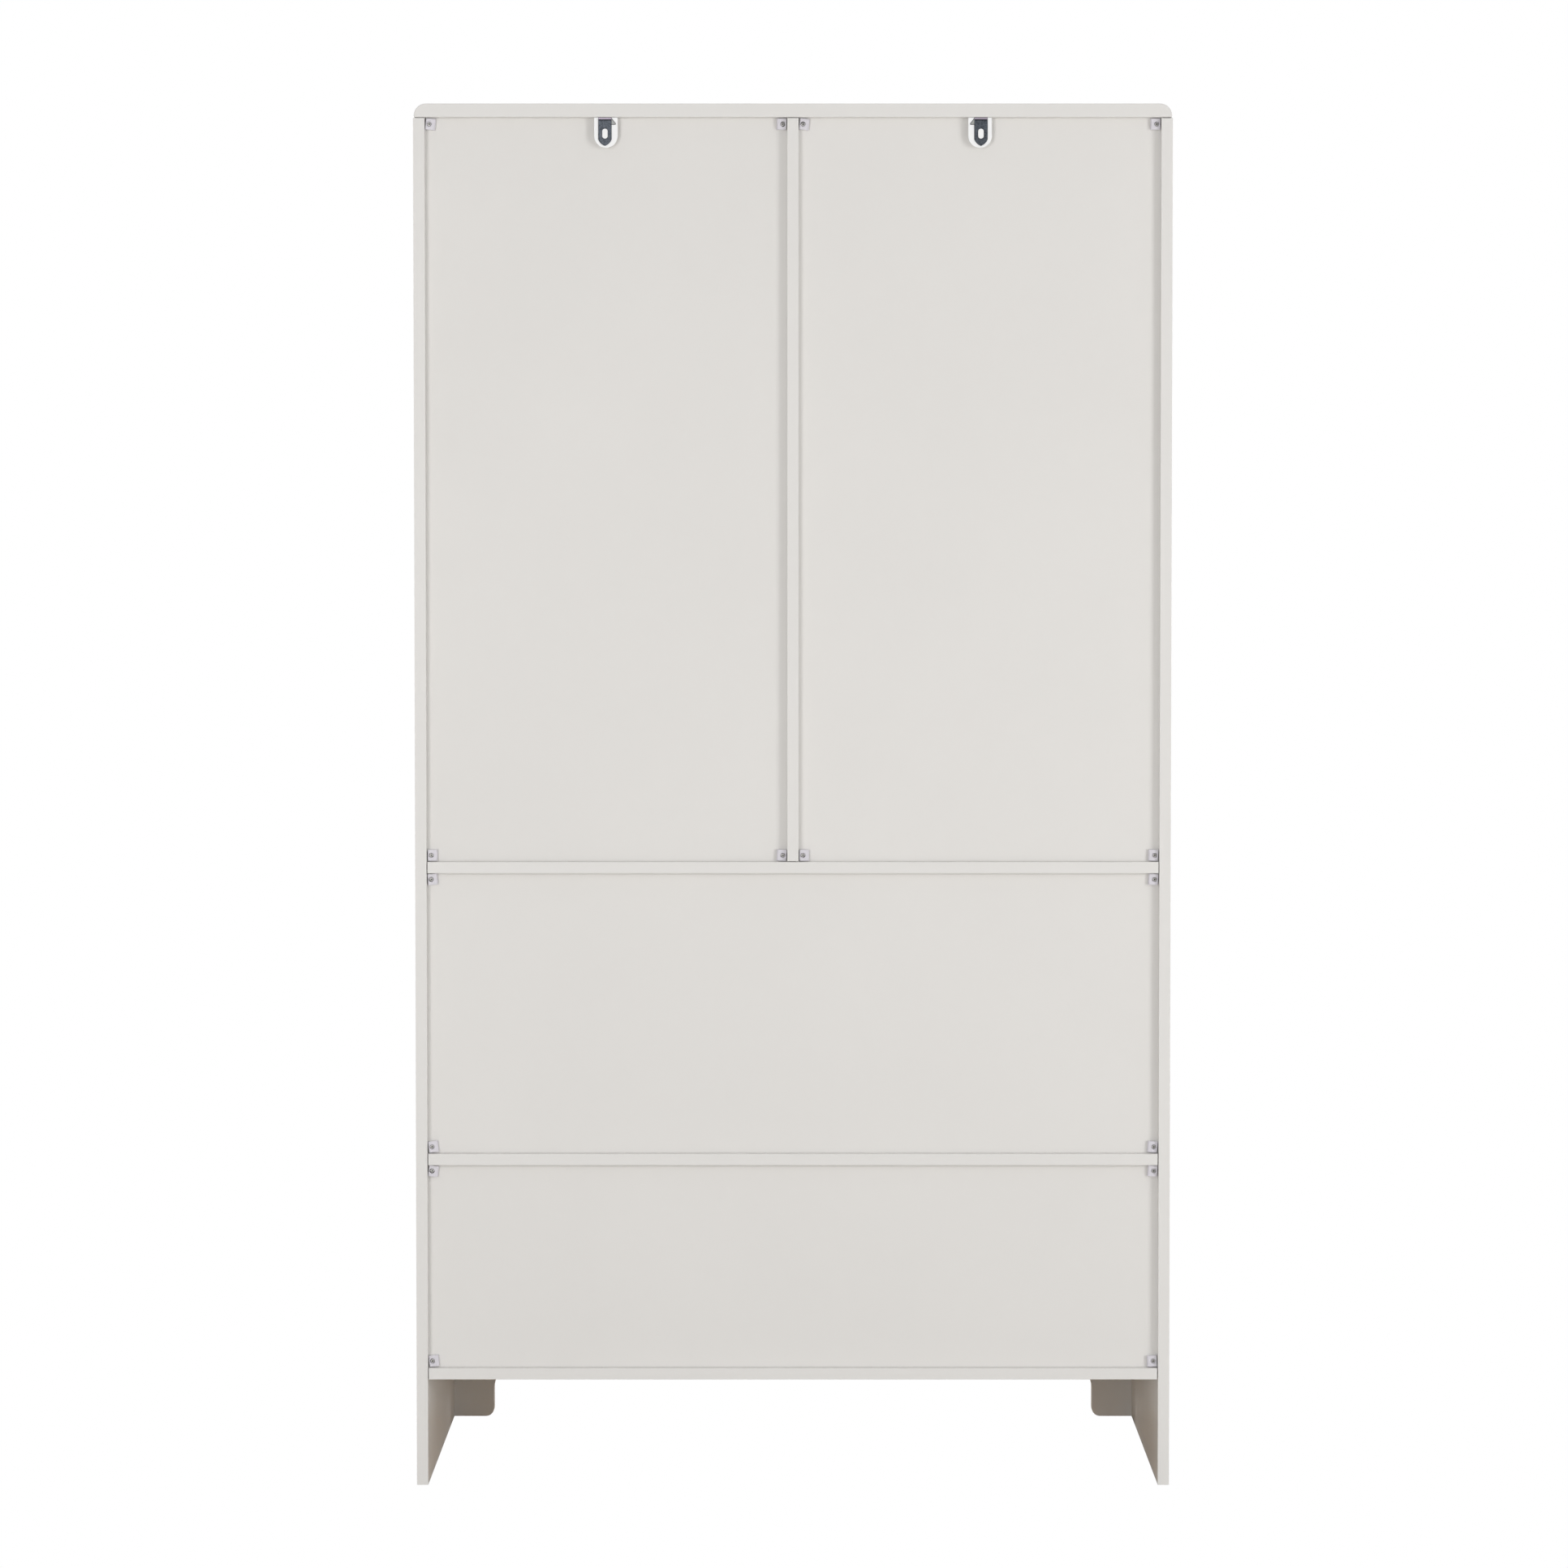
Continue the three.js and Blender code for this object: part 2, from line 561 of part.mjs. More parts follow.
// A flat front with a shallow sunk field inside its border.
function frontBoard(x, z, cuts) {
  const field = roundedRectangle(inward(x, FIELD_BORDER), inward(z, FIELD_BORDER), FIELD_RADIUS);
  const sunk = plateSolid(field, [frontBoardY[0] - OVERCUT, frontBoardY[0] + FIELD_DEPTH]);
  return cut(boxSolid(x, frontBoardY, z), [sunk, ...cuts]);
}

const postOffsets = [-HANDLE_SPACING / 2, HANDLE_SPACING / 2];

// A bar handle about its own middle, lying along X and standing out towards -Y from y = 0.
function handleSolid() {
  const barY = HANDLE_RADIUS - HANDLE_REACH;
  const bar = rodSolid("x", [-HANDLE_LENGTH / 2, HANDLE_LENGTH / 2], [barY, 0], HANDLE_RADIUS, ROUND);
  const posts = postOffsets.flatMap((x) => [
    rodSolid("y", [barY, -SEAT], [x, 0], POST_RADIUS, ROUND),
    rodSolid("y", [-SEAT - POST_FOOT_HEIGHT, -SEAT], [x, 0], POST_FOOT_RADIUS, ROUND),
  ]);
  return joined([bar, ...posts]);
}

function handleHoles(places) {
  const y = inward(frontBoardY, -OVERCUT);
  return places.map((place) => rodSolid("y", y, place, HANDLE_HOLE_RADIUS));
}

function doors() {
  const handleX = doorX[0] + FIELD_BORDER / 2;
  const handleZ = middleOf(doorZ);
  const holes = handleHoles(postOffsets.map((offset) => [handleX, handleZ + offset]));
  const upright = handleSolid().rotate([0, 90, 0]);
  return {
    boards: pair("door", frontBoard(doorX, doorZ, holes), boardPaint),
    handles: pair("door_handle", upright.translate([handleX, frontBoardY[0], handleZ]), satinSteel),
  };
}

// ---------------------------------------------------------------- drawer

const drawerX = innerX - RUNNER_SPACE; // outer faces of the drawer sides
const drawerInnerX = drawerX - DRAWER_BOARD;
const drawerY = [frontBoardY[1] + SEAT, frontBoardY[1] + SEAT + DRAWER_LENGTH];
const drawerZ = [bottomZ[1] + DRAWER_LIFT, bottomZ[1] + DRAWER_LIFT + DRAWER_SIDE_HEIGHT];
const drawerBackY = [drawerY[1] - DRAWER_BOARD, drawerY[1]];
const drawerBottomZ = [drawerZ[0] + DRAWER_BOTTOM_LIFT, drawerZ[0] + DRAWER_BOTTOM_LIFT + DRAWER_BOTTOM];

// The drawer bottom slides in a groove that runs round the front, the sides and the back.
function bottomGroove() {
  const x = [-drawerInnerX - grooveCut, drawerInnerX + grooveCut];
  const y = [frontBoardY[1] - grooveCut, drawerBackY[0] + grooveCut];
  return boxSolid(x, y, inward(drawerBottomZ, -GROOVE_CLEARANCE));
}

function drawerFront() {
  const handleZ = middleOf(drawerFrontZ);
  const holes = handleHoles(postOffsets.map((offset) => [offset, handleZ]));
  const board = frontBoard([-frontOuterX, frontOuterX], drawerFrontZ, [...holes, bottomGroove()]);
  const handle = handleSolid().translate([0, frontBoardY[0] + FIELD_DEPTH, handleZ]);
  return [piece("drawer_front", board, boardPaint), piece("drawer_handle", handle, satinSteel)];
}

function drawerBox() {
  const side = cut(boxSolid([drawerInnerX, drawerX], drawerY, drawerZ), [bottomGroove()]);
  const backX = inward([-drawerInnerX, drawerInnerX], SEAT);
  const back = cut(boxSolid(backX, drawerBackY, drawerZ), [bottomGroove()]);
  const bottomX = [-drawerInnerX - GROOVE_DEPTH, drawerInnerX + GROOVE_DEPTH];
  const bottomY = [frontBoardY[1] - GROOVE_DEPTH, drawerBackY[0] + GROOVE_DEPTH];
  return [
    ...pair("drawer_side", side, boardPaint),
    piece("drawer_back", back, boardPaint),
    piece("drawer_bottom", boxSolid(bottomX, bottomY, drawerBottomZ), backPaint),
  ];
}

// What is left of the space at the drawer's side once both channels are fixed and nested.
const runnerDepth = RUNNER_SPACE - 2 * SEAT - RUNNER_STEEL - RUNNER_NEST;

// A steel channel along Y: its web is at webX, and its flanges point the given way.
function runnerChannel(name, webX, way, height) {
  const axisZ = drawerZ[0] + RUNNER_LIFT;
  const y = [frontEdgeY + RUNNER_SETBACK, frontEdgeY + RUNNER_SETBACK + RUNNER_LENGTH];
  const half = height / 2;
  const hollow = half - RUNNER_STEEL;
  const shape = outline([
    [webX, axisZ - half],
    [webX + way * runnerDepth, axisZ - half],
    [webX + way * runnerDepth, axisZ - hollow],
    [webX + way * RUNNER_STEEL, axisZ - hollow],
    [webX + way * RUNNER_STEEL, axisZ + hollow],
    [webX + way * runnerDepth, axisZ + hollow],
    [webX + way * runnerDepth, axisZ + half],
    [webX, axisZ + half],
  ]);
  return pair(name, plateSolid(shape, y), zincSteel);
}

// ---------------------------------------------------------------- assembly

const hinge = hinges();
const catchPieces = catches();
const door = doors();

const carcass = group(
  topPanel(),
  sidePanels(),
  centreDivider(),
  crossBoard("upper_fixed_shelf", upperShelfZ, ["above", "below"]),
  crossBoard("lower_fixed_shelf", lowerShelfZ, ["above", "below"]),
  crossBoard("bottom_panel", bottomZ, ["above"]),
  frontApron(),
  BAYS.map(backBoard),
  BAYS.map(clips).flat(),
  wallBrackets(),
  hangingRail(),
  adjustableShelves(),
  hinge.frameLeaves,
  hinge.pins,
  catchPieces.magnets,
  runnerChannel("cabinet_runner", innerX - SEAT, -1, CABINET_RUNNER_HEIGHT),
);

const [leftDoor, rightDoor] = [0, 1].map((side) =>
  group(door.boards[side], door.handles[side], hinge.doorLeaves[side], catchPieces.plates[side]),
);

const drawer = group(
  drawerFront(),
  drawerBox(),
  runnerChannel("drawer_runner", drawerX + SEAT, 1, DRAWER_RUNNER_HEIGHT),
);

const armoire = new THREE.Group();
armoire.add(carcass, leftDoor, rightDoor, drawer);

export default armoire;
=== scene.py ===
"""Looks of the two-door armoire: eased and painted boards, clips, brackets, hinges and fittings."""

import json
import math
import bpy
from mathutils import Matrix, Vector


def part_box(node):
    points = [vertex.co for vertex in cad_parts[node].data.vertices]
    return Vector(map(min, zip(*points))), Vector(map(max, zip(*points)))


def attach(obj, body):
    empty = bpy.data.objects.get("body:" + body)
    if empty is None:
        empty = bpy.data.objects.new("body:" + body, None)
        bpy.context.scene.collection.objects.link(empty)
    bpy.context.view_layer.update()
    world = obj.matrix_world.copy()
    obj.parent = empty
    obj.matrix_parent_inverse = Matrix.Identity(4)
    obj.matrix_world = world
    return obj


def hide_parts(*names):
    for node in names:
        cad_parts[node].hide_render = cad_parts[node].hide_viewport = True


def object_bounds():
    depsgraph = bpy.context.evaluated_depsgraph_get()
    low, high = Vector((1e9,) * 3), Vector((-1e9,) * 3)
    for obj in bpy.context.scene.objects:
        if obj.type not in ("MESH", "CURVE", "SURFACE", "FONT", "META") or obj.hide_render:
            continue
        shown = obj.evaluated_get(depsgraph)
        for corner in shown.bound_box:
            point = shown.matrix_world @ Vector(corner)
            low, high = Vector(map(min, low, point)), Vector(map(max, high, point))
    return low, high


bl_info = {
    "name": "Armoire",
    "version": (1, 0, 0),
    "blender": (4, 5, 0),
    "location": "View3D > Sidebar > Armoire",
    "description": "Finishes the armoire's boards and fittings and sets up its stage",
    "category": "Object",
}

from functools import partial

import bpy
from bpy.props import FloatProperty, FloatVectorProperty, IntProperty, PointerProperty
from mathutils import Matrix, Vector

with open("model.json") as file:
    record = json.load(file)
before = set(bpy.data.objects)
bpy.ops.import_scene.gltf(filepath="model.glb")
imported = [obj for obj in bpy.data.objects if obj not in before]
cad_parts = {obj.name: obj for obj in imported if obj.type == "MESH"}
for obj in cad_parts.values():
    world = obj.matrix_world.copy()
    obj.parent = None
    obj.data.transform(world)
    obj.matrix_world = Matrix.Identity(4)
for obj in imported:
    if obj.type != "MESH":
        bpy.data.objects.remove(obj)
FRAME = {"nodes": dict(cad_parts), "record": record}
NODES = FRAME["nodes"]
RECORD = FRAME["record"]
BODY_OF = {node: body for body, nodes in RECORD["behaviour"]["bodies"].items() for node in nodes}
SLOT_OF = {part["node"]: part["material_slot"] for part in RECORD["subparts"]}
CAD_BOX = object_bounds()
SIDES = {"left": -1, "right": 1}
X_AXIS = Vector((1, 0, 0))
Y_AXIS = Vector((0, 1, 0))
Z_AXIS = Vector((0, 0, 1))
MM = 0.001
OVERCUT = 2 * MM  # how far a cutting piece runs past the face it opens
SAME_PLACE = 0.01 * MM  # corners closer than this are one corner

FLAT = math.radians(0.5)  # faces that turn less than this are one flat face
SAME_WAY = 0.9  # least cosine between a face's normal and the direction it faces
PARALLEL = 0.99  # least cosine between an edge and the direction it runs

BOARD_NODES = [node for node in NODES if SLOT_OF[node] == "board"]
CLIP_NODES = [node for node in NODES if node.startswith("clip_")]
LOW_END, HIGH_END = (0, 1)
ACROSS, UP = (0, 2)
BOTH_ENDS = (LOW_END, HIGH_END)
SLIT_ENDS = {
    "upper_fixed_shelf": (ACROSS, BOTH_ENDS),
    "lower_fixed_shelf": (ACROSS, BOTH_ENDS),
    "bottom_panel": (ACROSS, BOTH_ENDS),
    "centre_divider": (UP, BOTH_ENDS),
    "side_panel_left": (UP, (HIGH_END,)),
    "side_panel_right": (UP, (HIGH_END,)),
}


# ------------------------------------------------ settings


def length_property(name, description, default):
    return FloatProperty(name=name, description=description, default=default, min=0, unit="LENGTH")


def colour_property(name, description, default):
    return FloatVectorProperty(
        name=name, description=description, default=default, size=3, subtype="COLOR"
    )


def power_property(name, description, default):
    return FloatProperty(name=name, description=description, default=default, unit="POWER")


class BoardSettings(bpy.types.PropertyGroup):
    """Sizes and colours of the painted boards."""

    edge_radius: length_property(
        "Edge radius", "How far the corners of a board are eased", 0.9 * MM
    )
    edge_steps: IntProperty(
        name="Edge steps", description="Facets across an eased corner", default=3, min=1
    )
    slit: length_property(
        "Slit", "Width of the dark joint behind the end of a shelf or an upright", 0.8 * MM
    )
    slit_depth: length_property(
        "Slit depth", "How far that joint runs in from the rear", 6 * MM
    )
    paint: colour_property("Paint", "Colour of the painted boards", (0.775, 0.761, 0.74))
    back_paint: colour_property(
        "Back board paint", "Colour of the thin back boards", (0.772, 0.756, 0.733)
    )


class FittingSettings(bpy.types.PropertyGroup):
    """Sizes and colours of the plastic and metal fittings."""

    plastic: colour_property("Plastic", "Colour of the back board clips", (0.70, 0.68, 0.73))
    catch_plastic: colour_property(
        "Catch plastic", "Colour of the catches and bumpers", (0.8, 0.79, 0.77)
    )
    clip_edge: length_property("Clip edge", "Rounding of a clip's corners", 0.6 * MM)
    clip_screw_inset: length_property(
        "Clip screw inset", "Middle of a clip to its screw, towards the upright board", 1.85 * MM
    )
    strap_offset: length_property(
        "Strap offset", "Axis of a bracket's strap, outboard of its plate's axis", 1.2 * MM
    )
    plate_white: colour_property(
        "Plate", "Colour of the wall brackets' plates and slot plugs", (0.97, 0.975, 0.985)
    )
    # A lilac painted reflection: this colour stands in for the top's underside mirrored in the
    # strap's bend
    bend: colour_property(
        "Bend", "Colour of the painted reflection in the bend of a bracket's strap", (0.47, 0.41, 0.5)
    )
    zinc: colour_property("Zinc", "Colour of bright plated steel", (0.88, 0.885, 0.90))
    dark_steel: colour_property(
        "Dark steel", "Colour of the wall brackets' straps", (0.115, 0.128, 0.15)
    )
    nickel: colour_property(
        "Nickel", "Colour of the handles and the hanging rail", (0.58, 0.56, 0.53)
    )


class StageSettings(bpy.types.PropertyGroup):
    """The camera, the light and the floor."""

    camera_distance: length_property(
        "Camera distance", "Camera to the rear of the armoire", 6.165
    )
    camera_height: length_property("Camera height", "Camera above the floor", 1.2726)
    camera_tilt: FloatProperty(
        name="Camera tilt",
        description="How far the camera looks down",
        default=math.radians(2.1),
        unit="ROTATION",
    )
    lens: FloatProperty(name="Lens", description="Focal length in millimetres", default=107.16)
    shift_x: FloatProperty(name="Shift across", description="Sideways shift", default=-0.0057)
    shift_y: FloatProperty(name="Shift up", description="Upward shift", default=-0.0545)
    surround: FloatProperty(
        name="Surround",
        description="Strength of the even light from all around",
        default=0.515,
    )
    side_power: power_property(
        "Side lights", "Power of each tall light that faces the back", 75.0
    )
    front_power: power_property(
        "Front lights", "Power of each tall light that faces the doors", 62.0
    )
    top_power: power_property(
        "Top light", "Power of the light over the front, which falls on the top", 30.0
    )


def settings():
    return bpy.context.scene.armoire


class ArmoireSettings(bpy.types.PropertyGroup):
    """All the settings of the armoire."""

    board: PointerProperty(type=BoardSettings, name="Boards")
    fitting: PointerProperty(type=FittingSettings, name="Fittings")
    stage: PointerProperty(type=StageSettings, name="Stage")


# ------------------------------------------------ shader groups and materials


def new_group(name, inputs, outputs):
    """An empty shader node group with float or colour sockets, and its input and output nodes."""
    group = bpy.data.node_groups.new(name, "ShaderNodeTree")
    for direction, sockets in (("INPUT", inputs), ("OUTPUT", outputs)):
        for label, value in sockets.items():
            kind = "NodeSocketFloat" if isinstance(value, float) else "NodeSocketColor"
            socket = group.interface.new_socket(name=label, in_out=direction, socket_type=kind)
            if direction == "INPUT":
                socket.default_value = value
    return group, group.nodes.new("NodeGroupInput"), group.nodes.new("NodeGroupOutput")


def noise(tree, vector, scale, detail=3.0, roughness=0.5):
    """The value of a noise texture at a place."""
    node = tree.nodes.new("ShaderNodeTexNoise")
    node.inputs["Scale"].default_value = scale
    node.inputs["Detail"].default_value = detail
    node.inputs["Roughness"].default_value = roughness
    tree.links.new(vector, node.inputs["Vector"])
    return node.outputs["Fac"]


def math_node(tree, operation, *values):
    """One sum on numbers or sockets."""
    node = tree.nodes.new("ShaderNodeMath")
    node.operation = operation
    for socket, value in zip(node.inputs, values):
        if isinstance(value, (int, float)):
            socket.default_value = value
        else:
            tree.links.new(value, socket)
    return node.outputs[0]


def shade_colour(group, given, result, shade):
    """Puts out a group's colour, lighter or darker by a factor."""
    scaled = group.nodes.new("ShaderNodeVectorMath")
    scaled.operation = "SCALE"
    group.links.new(given.outputs["Colour"], scaled.inputs[0])
    group.links.new(shade, scaled.inputs["Scale"])
    group.links.new(scaled.outputs[0], result.inputs["Colour"])


def vary_roughness(group, given, result, pattern):
    """Puts out a group's roughness, with a pattern round zero added to it."""
    unevenness, roughness = (given.outputs[label] for label in ("Unevenness", "Roughness"))
    uneven = math_node(group, "MULTIPLY_ADD", pattern, unevenness, roughness)
    group.links.new(uneven, result.inputs["Roughness"])


def paint_film_group():
    """Sprayed paint: faint clouding of the colour, an orange-peel height and uneven gloss."""
    inputs = {
        "Colour": (0.8, 0.8, 0.8, 1.0),
        "Clouding": 0.02,
        "Roughness": 0.45,
        "Unevenness": 0.06,
    }
    outputs = {"Colour": (0.0,) * 4, "Roughness": 0.0, "Height": 0.0}
    group, given, result = new_group("Paint film", inputs, outputs)
    place = group.nodes.new("ShaderNodeTexCoord").outputs["Object"]
    cloud = noise(group, place, scale=5.0, detail=4.0)
    rub = noise(group, place, scale=38.0, detail=5.0, roughness=0.65)
    peel = noise(group, place, scale=900.0, detail=1.0)
    swing = math_node(group, "MULTIPLY", given.outputs["Clouding"], 2.0)
    shade = math_node(group, "MULTIPLY_ADD", math_node(group, "SUBTRACT", cloud, 0.5), swing, 1.0)
    shade_colour(group, given, result, shade)
    vary_roughness(group, given, result, math_node(group, "SUBTRACT", rub, 0.5))
    group.links.new(math_node(group, "MULTIPLY_ADD", peel, 0.7, cloud), result.inputs["Height"])
    return group


def brushed_metal_group():
    """Metal with fine drawn lines along one axis, and soft stains from handling."""
    inputs = {
        "Colour": (0.6, 0.6, 0.6, 1.0),
        "Roughness": 0.3,
        "Unevenness": 0.15,
        "Mottle": 0.06,
        "Mottle scale": 60.0,
        "Lines across X": 1.0,
        "Lines across Y": 1.0,
        "Lines across Z": 1.0,
    }
    outputs = {"Colour": (0.0,) * 4, "Roughness": 0.0, "Height": 0.0}
    group, given, result = new_group("Drawn metal", inputs, outputs)
    place = group.nodes.new("ShaderNodeTexCoord").outputs["Object"]
    stretch = group.nodes.new("ShaderNodeCombineXYZ")
    for axis in "XYZ":
        group.links.new(given.outputs[f"Lines across {axis}"], stretch.inputs[axis])
    scaled = group.nodes.new("ShaderNodeVectorMath")
    scaled.operation = "MULTIPLY"
    group.links.new(place, scaled.inputs[0])
    group.links.new(stretch.outputs[0], scaled.inputs[1])
    lines = noise(group, scaled.outputs[0], scale=1.0, detail=4.0, roughness=0.7)
    stain = noise(group, place, scale=60.0)
    group.links.new(given.outputs["Mottle scale"], stain.node.inputs["Scale"])
    swing = math_node(group, "MULTIPLY", math_node(group, "SUBTRACT", stain, 0.5), 4.0)
    tint = math_node(group, "MULTIPLY_ADD", swing, given.outputs["Mottle"], 1.0)
    shade_colour(group, given, result, tint)
    mixed = math_node(group, "SUBTRACT", math_node(group, "MULTIPLY_ADD", lines, 0.6, stain), 0.8)
    vary_roughness(group, given, result, mixed)
    group.links.new(lines, result.inputs["Height"])
    return group


def surfaced(name, group, values, bump, depth, **fixed):
    """A material whose colour, roughness and fine height come from a shader group."""
    material = bpy.data.materials.new(name)
    material.use_nodes = True
    tree = material.node_tree
    shader = tree.nodes["Principled BSDF"]
    source = tree.nodes.new("ShaderNodeGroup")
    source.node_tree = group
    for label, value in values.items():
        source.inputs[label].default_value = value
    relief = tree.nodes.new("ShaderNodeBump")
    relief.inputs["Strength"].default_value = bump
    relief.inputs["Distance"].default_value = depth
    tree.links.new(source.outputs["Colour"], shader.inputs["Base Color"])
    tree.links.new(source.outputs["Roughness"], shader.inputs["Roughness"])
    tree.links.new(source.outputs["Height"], relief.inputs["Height"])
    tree.links.new(relief.outputs["Normal"], shader.inputs["Normal"])
    for label, value in fixed.items():
        shader.inputs[label.replace("_", " ")].default_value = value
    return material


def opaque(colour):
    return (*colour, 1.0)


COAT_ROUGHNESS = 0.4
PAINT_RELIEF = {"bump": 0.12, "depth": 0.1 * MM}
METAL_RELIEF = 0.05 * MM
PLAIN_LINES = (60.0, 60.0, 60.0)
LINES_ALONG_X = (8.0, 1500.0, 1500.0)
LINES_ALONG_Y = (1500.0, 8.0, 1500.0)
LINES_ALONG_Z = (1500.0, 1500.0, 8.0)
SOFT_MOTTLE = (0.05, 60.0)  # strength and scale
CLEAN_MOTTLE = (0.012, 60.0)
GRAINY_MOTTLE = (0.5, 700.0)
# Black painted shade: it darkens the eased edges of the bracket straps and gussets and the screws'
# cross recesses
PAINTED_SHADE_BLACK = (0.05, 0.055, 0.065)
GREY = (0.4, 0.41, 0.4)
SCREW_GREY = (0.42, 0.42, 0.44)
SCREW_WARM = (0.5, 0.49, 0.47)
RUNNER_GREY = (0.66, 0.67, 0.69)


def painted(name, colour, roughness, clouding, coat=0.06):
    """A sprayed or moulded finish."""
    values = {
        "Colour": opaque(colour),
        "Roughness": roughness,
        "Clouding": clouding,
        "Unevenness": 0.08,
    }
    film = bpy.data.node_groups["Paint film"]
    fixed = {"Coat_Weight": coat, "Coat_Roughness": COAT_ROUGHNESS}
    return surfaced(name, film, values, **PAINT_RELIEF, **fixed)


def metal(
    name, colour, roughness, unevenness=0.2, lines=PLAIN_LINES, bump=0.05, mottle=SOFT_MOTTLE
):
    """A metal with drawn lines and stains."""
    values = {"Colour": opaque(colour), "Roughness": roughness, "Unevenness": unevenness}
    values["Mottle"], values["Mottle scale"] = mottle
    for axis, across in zip("XYZ", lines):
        values[f"Lines across {axis}"] = across
    drawn = bpy.data.node_groups["Drawn metal"]
    return surfaced(name, drawn, values, bump, METAL_RELIEF, Metallic=1.0)


def make_materials():
    board = settings().board
    fitting = settings().fitting
    paint_film_group()
    brushed_metal_group()
    painted("Painted board", board.paint, roughness=0.42, clouding=0.012)
    painted("Painted back board", board.back_paint, roughness=0.52, clouding=0.018)
    painted("White plastic", fitting.plastic, roughness=0.34, clouding=0.02)
    painted("Catch plastic", fitting.catch_plastic, roughness=0.4, clouding=0.02)
    painted("White lacquer", fitting.plate_white, roughness=0.25, clouding=0.01, coat=1.0)
    metal("Bright zinc", fitting.zinc, roughness=0.16, unevenness=0.12)
    dark = {"unevenness": 0.4, "bump": 0.5, "mottle": GRAINY_MOTTLE}
    metal("Dark steel", fitting.dark_steel, roughness=0.36, **dark)
    # Black painted shade for eased bracket edges and screw recesses
    metal("Blackened edge", PAINTED_SHADE_BLACK, roughness=0.45)
    # Lilac painted reflection along each strap's bend
    metal("Bare bend", fitting.bend, roughness=0.4)
    metal("Grey steel", GREY, roughness=0.45)
    metal("Screw steel", SCREW_GREY, roughness=0.25)
    metal("Screw zinc", SCREW_WARM, roughness=0.42)
    metal("Runner steel", RUNNER_GREY, roughness=0.3, lines=LINES_ALONG_Y)
    for axis, lines in (("X", LINES_ALONG_X), ("Z", LINES_ALONG_Z)):
        polish = {"unevenness": 0.16, "lines": lines, "mottle": CLEAN_MOTTLE}
        metal(f"Nickel along {axis}", fitting.nickel, roughness=0.3, **polish)


# ------------------------------------------------ modelling by hand


def only(piece):
    """Makes a piece the only one that is selected, and the active one."""
    bpy.ops.object.select_all(action="DESELECT")
    piece.select_set(True)
    bpy.context.view_layer.objects.active = piece
    return piece


def edit(piece, kind, pick, *steps):
    """In edit mode, selects the vertices, edges or faces that pick accepts, and runs the steps."""
    only(piece)
    bpy.ops.object.mode_set(mode="EDIT")
    bpy.ops.mesh.select_mode(type=kind)
    bpy.ops.mesh.select_all(action="DESELECT")
    bpy.ops.object.mode_set(mode="OBJECT")
    mesh = piece.data
    items = {"VERT": mesh.vertices, "EDGE": mesh.edges, "FACE": mesh.polygons}[kind]
    for item in items:
        item.select = pick(mesh, item)
    bpy.ops.object.mode_set(mode="EDIT")
    for step in steps:
        step()
    bpy.ops.object.mode_set(mode="OBJECT")


def everything(mesh, item):
    """Picks all of a mesh."""
    return True


def facing(direction):
    """Picks the faces whose normal points that way."""
    return lambda mesh, face: face.normal.dot(direction) > SAME_WAY


def facing_either_way(direction):
    """Picks the faces whose normal points that way or the opposite one."""
    return lambda mesh, face: abs(face.normal.dot(direction)) > SAME_WAY


def edges_along(direction, test=lambda middle: True):
    """Picks the edges that run that way and whose middle passes a test."""

    def pick(mesh, edge):
        start, end = (mesh.vertices[i].co for i in edge.vertices)
        along = abs((end - start).normalized().dot(direction)) > PARALLEL
        return along and test((start + end) / 2)

    return pick


def beveller(width, steps):
    """The step that bevels what is selected."""
    return partial(bpy.ops.mesh.bevel, offset=width, segments=steps, affect="EDGES")


def block(name, size, centre):
    """A box of that size, with its place in its mesh."""
    bpy.ops.object.select_all(action="DESELECT")
    bpy.ops.mesh.primitive_cube_add(size=1, location=centre, scale=size)
    return named(name)


def rod(name, radius, length, centre, axis=Z_AXIS, sides=48):
    """A rod along an axis, with its place in its mesh."""
    bpy.ops.object.select_all(action="DESELECT")
    turn = Z_AXIS.rotation_difference(axis).to_euler()
    bpy.ops.mesh.primitive_cylinder_add(
        vertices=sides, radius=radius, depth=length, location=centre, rotation=turn
    )
    return named(name)


def named(name):
    """Names the active new piece and moves its place into its mesh."""
    piece = bpy.context.object
    piece.name = name
    piece.data.name = name
    bpy.ops.object.transform_apply(location=True, rotation=True, scale=True)
    return piece


def joined(name, pieces):
    """One piece from several that touch."""
    only(pieces[0])
    for piece in pieces:
        piece.select_set(True)
    bpy.ops.object.join()
    return named(name)


def combine(piece, other, operation):
    """Adds one closed piece to another, or takes it away."""
    only(piece)
    modifier = piece.modifiers.new("Combine", "BOOLEAN")
    modifier.operation = operation
    modifier.solver = "EXACT"
    modifier.object = other
    bpy.ops.object.modifier_apply(modifier=modifier.name)
    bpy.data.objects.remove(other)
    return piece


def cut(piece, cutter):
    """Takes one closed piece away from another."""
    return combine(piece, cutter, "DIFFERENCE")


def ease(piece, width, steps, angle=40, edge_material=-1):
    """Rounds every corner sharper than the angle, and shades flat faces flat."""
    only(piece)
    bpy.ops.object.shade_smooth_by_angle(angle=math.radians(angle))
    bevel = piece.modifiers.new("Ease", "BEVEL")
    bevel.width = width
    bevel.segments = steps
    bevel.limit_method = "ANGLE"
    bevel.angle_limit = math.radians(angle)
    bevel.use_clamp_overlap = True
    bevel.material = edge_material
    weighted = piece.modifiers.new("Flat faces stay flat", "WEIGHTED_NORMAL")
    weighted.keep_sharp = True
    for modifier in (bevel, weighted):
        bpy.ops.object.modifier_apply(modifier=modifier.name)
    return piece


def copy_of(piece, name, place=Matrix.Identity(4)):
    """A copy with a mesh of its own, moved by a matrix."""
    mesh = piece.data.copy()
    mesh.transform(place)
    twin = bpy.data.objects.new(name, mesh)
    bpy.context.scene.collection.objects.link(twin)
    return twin


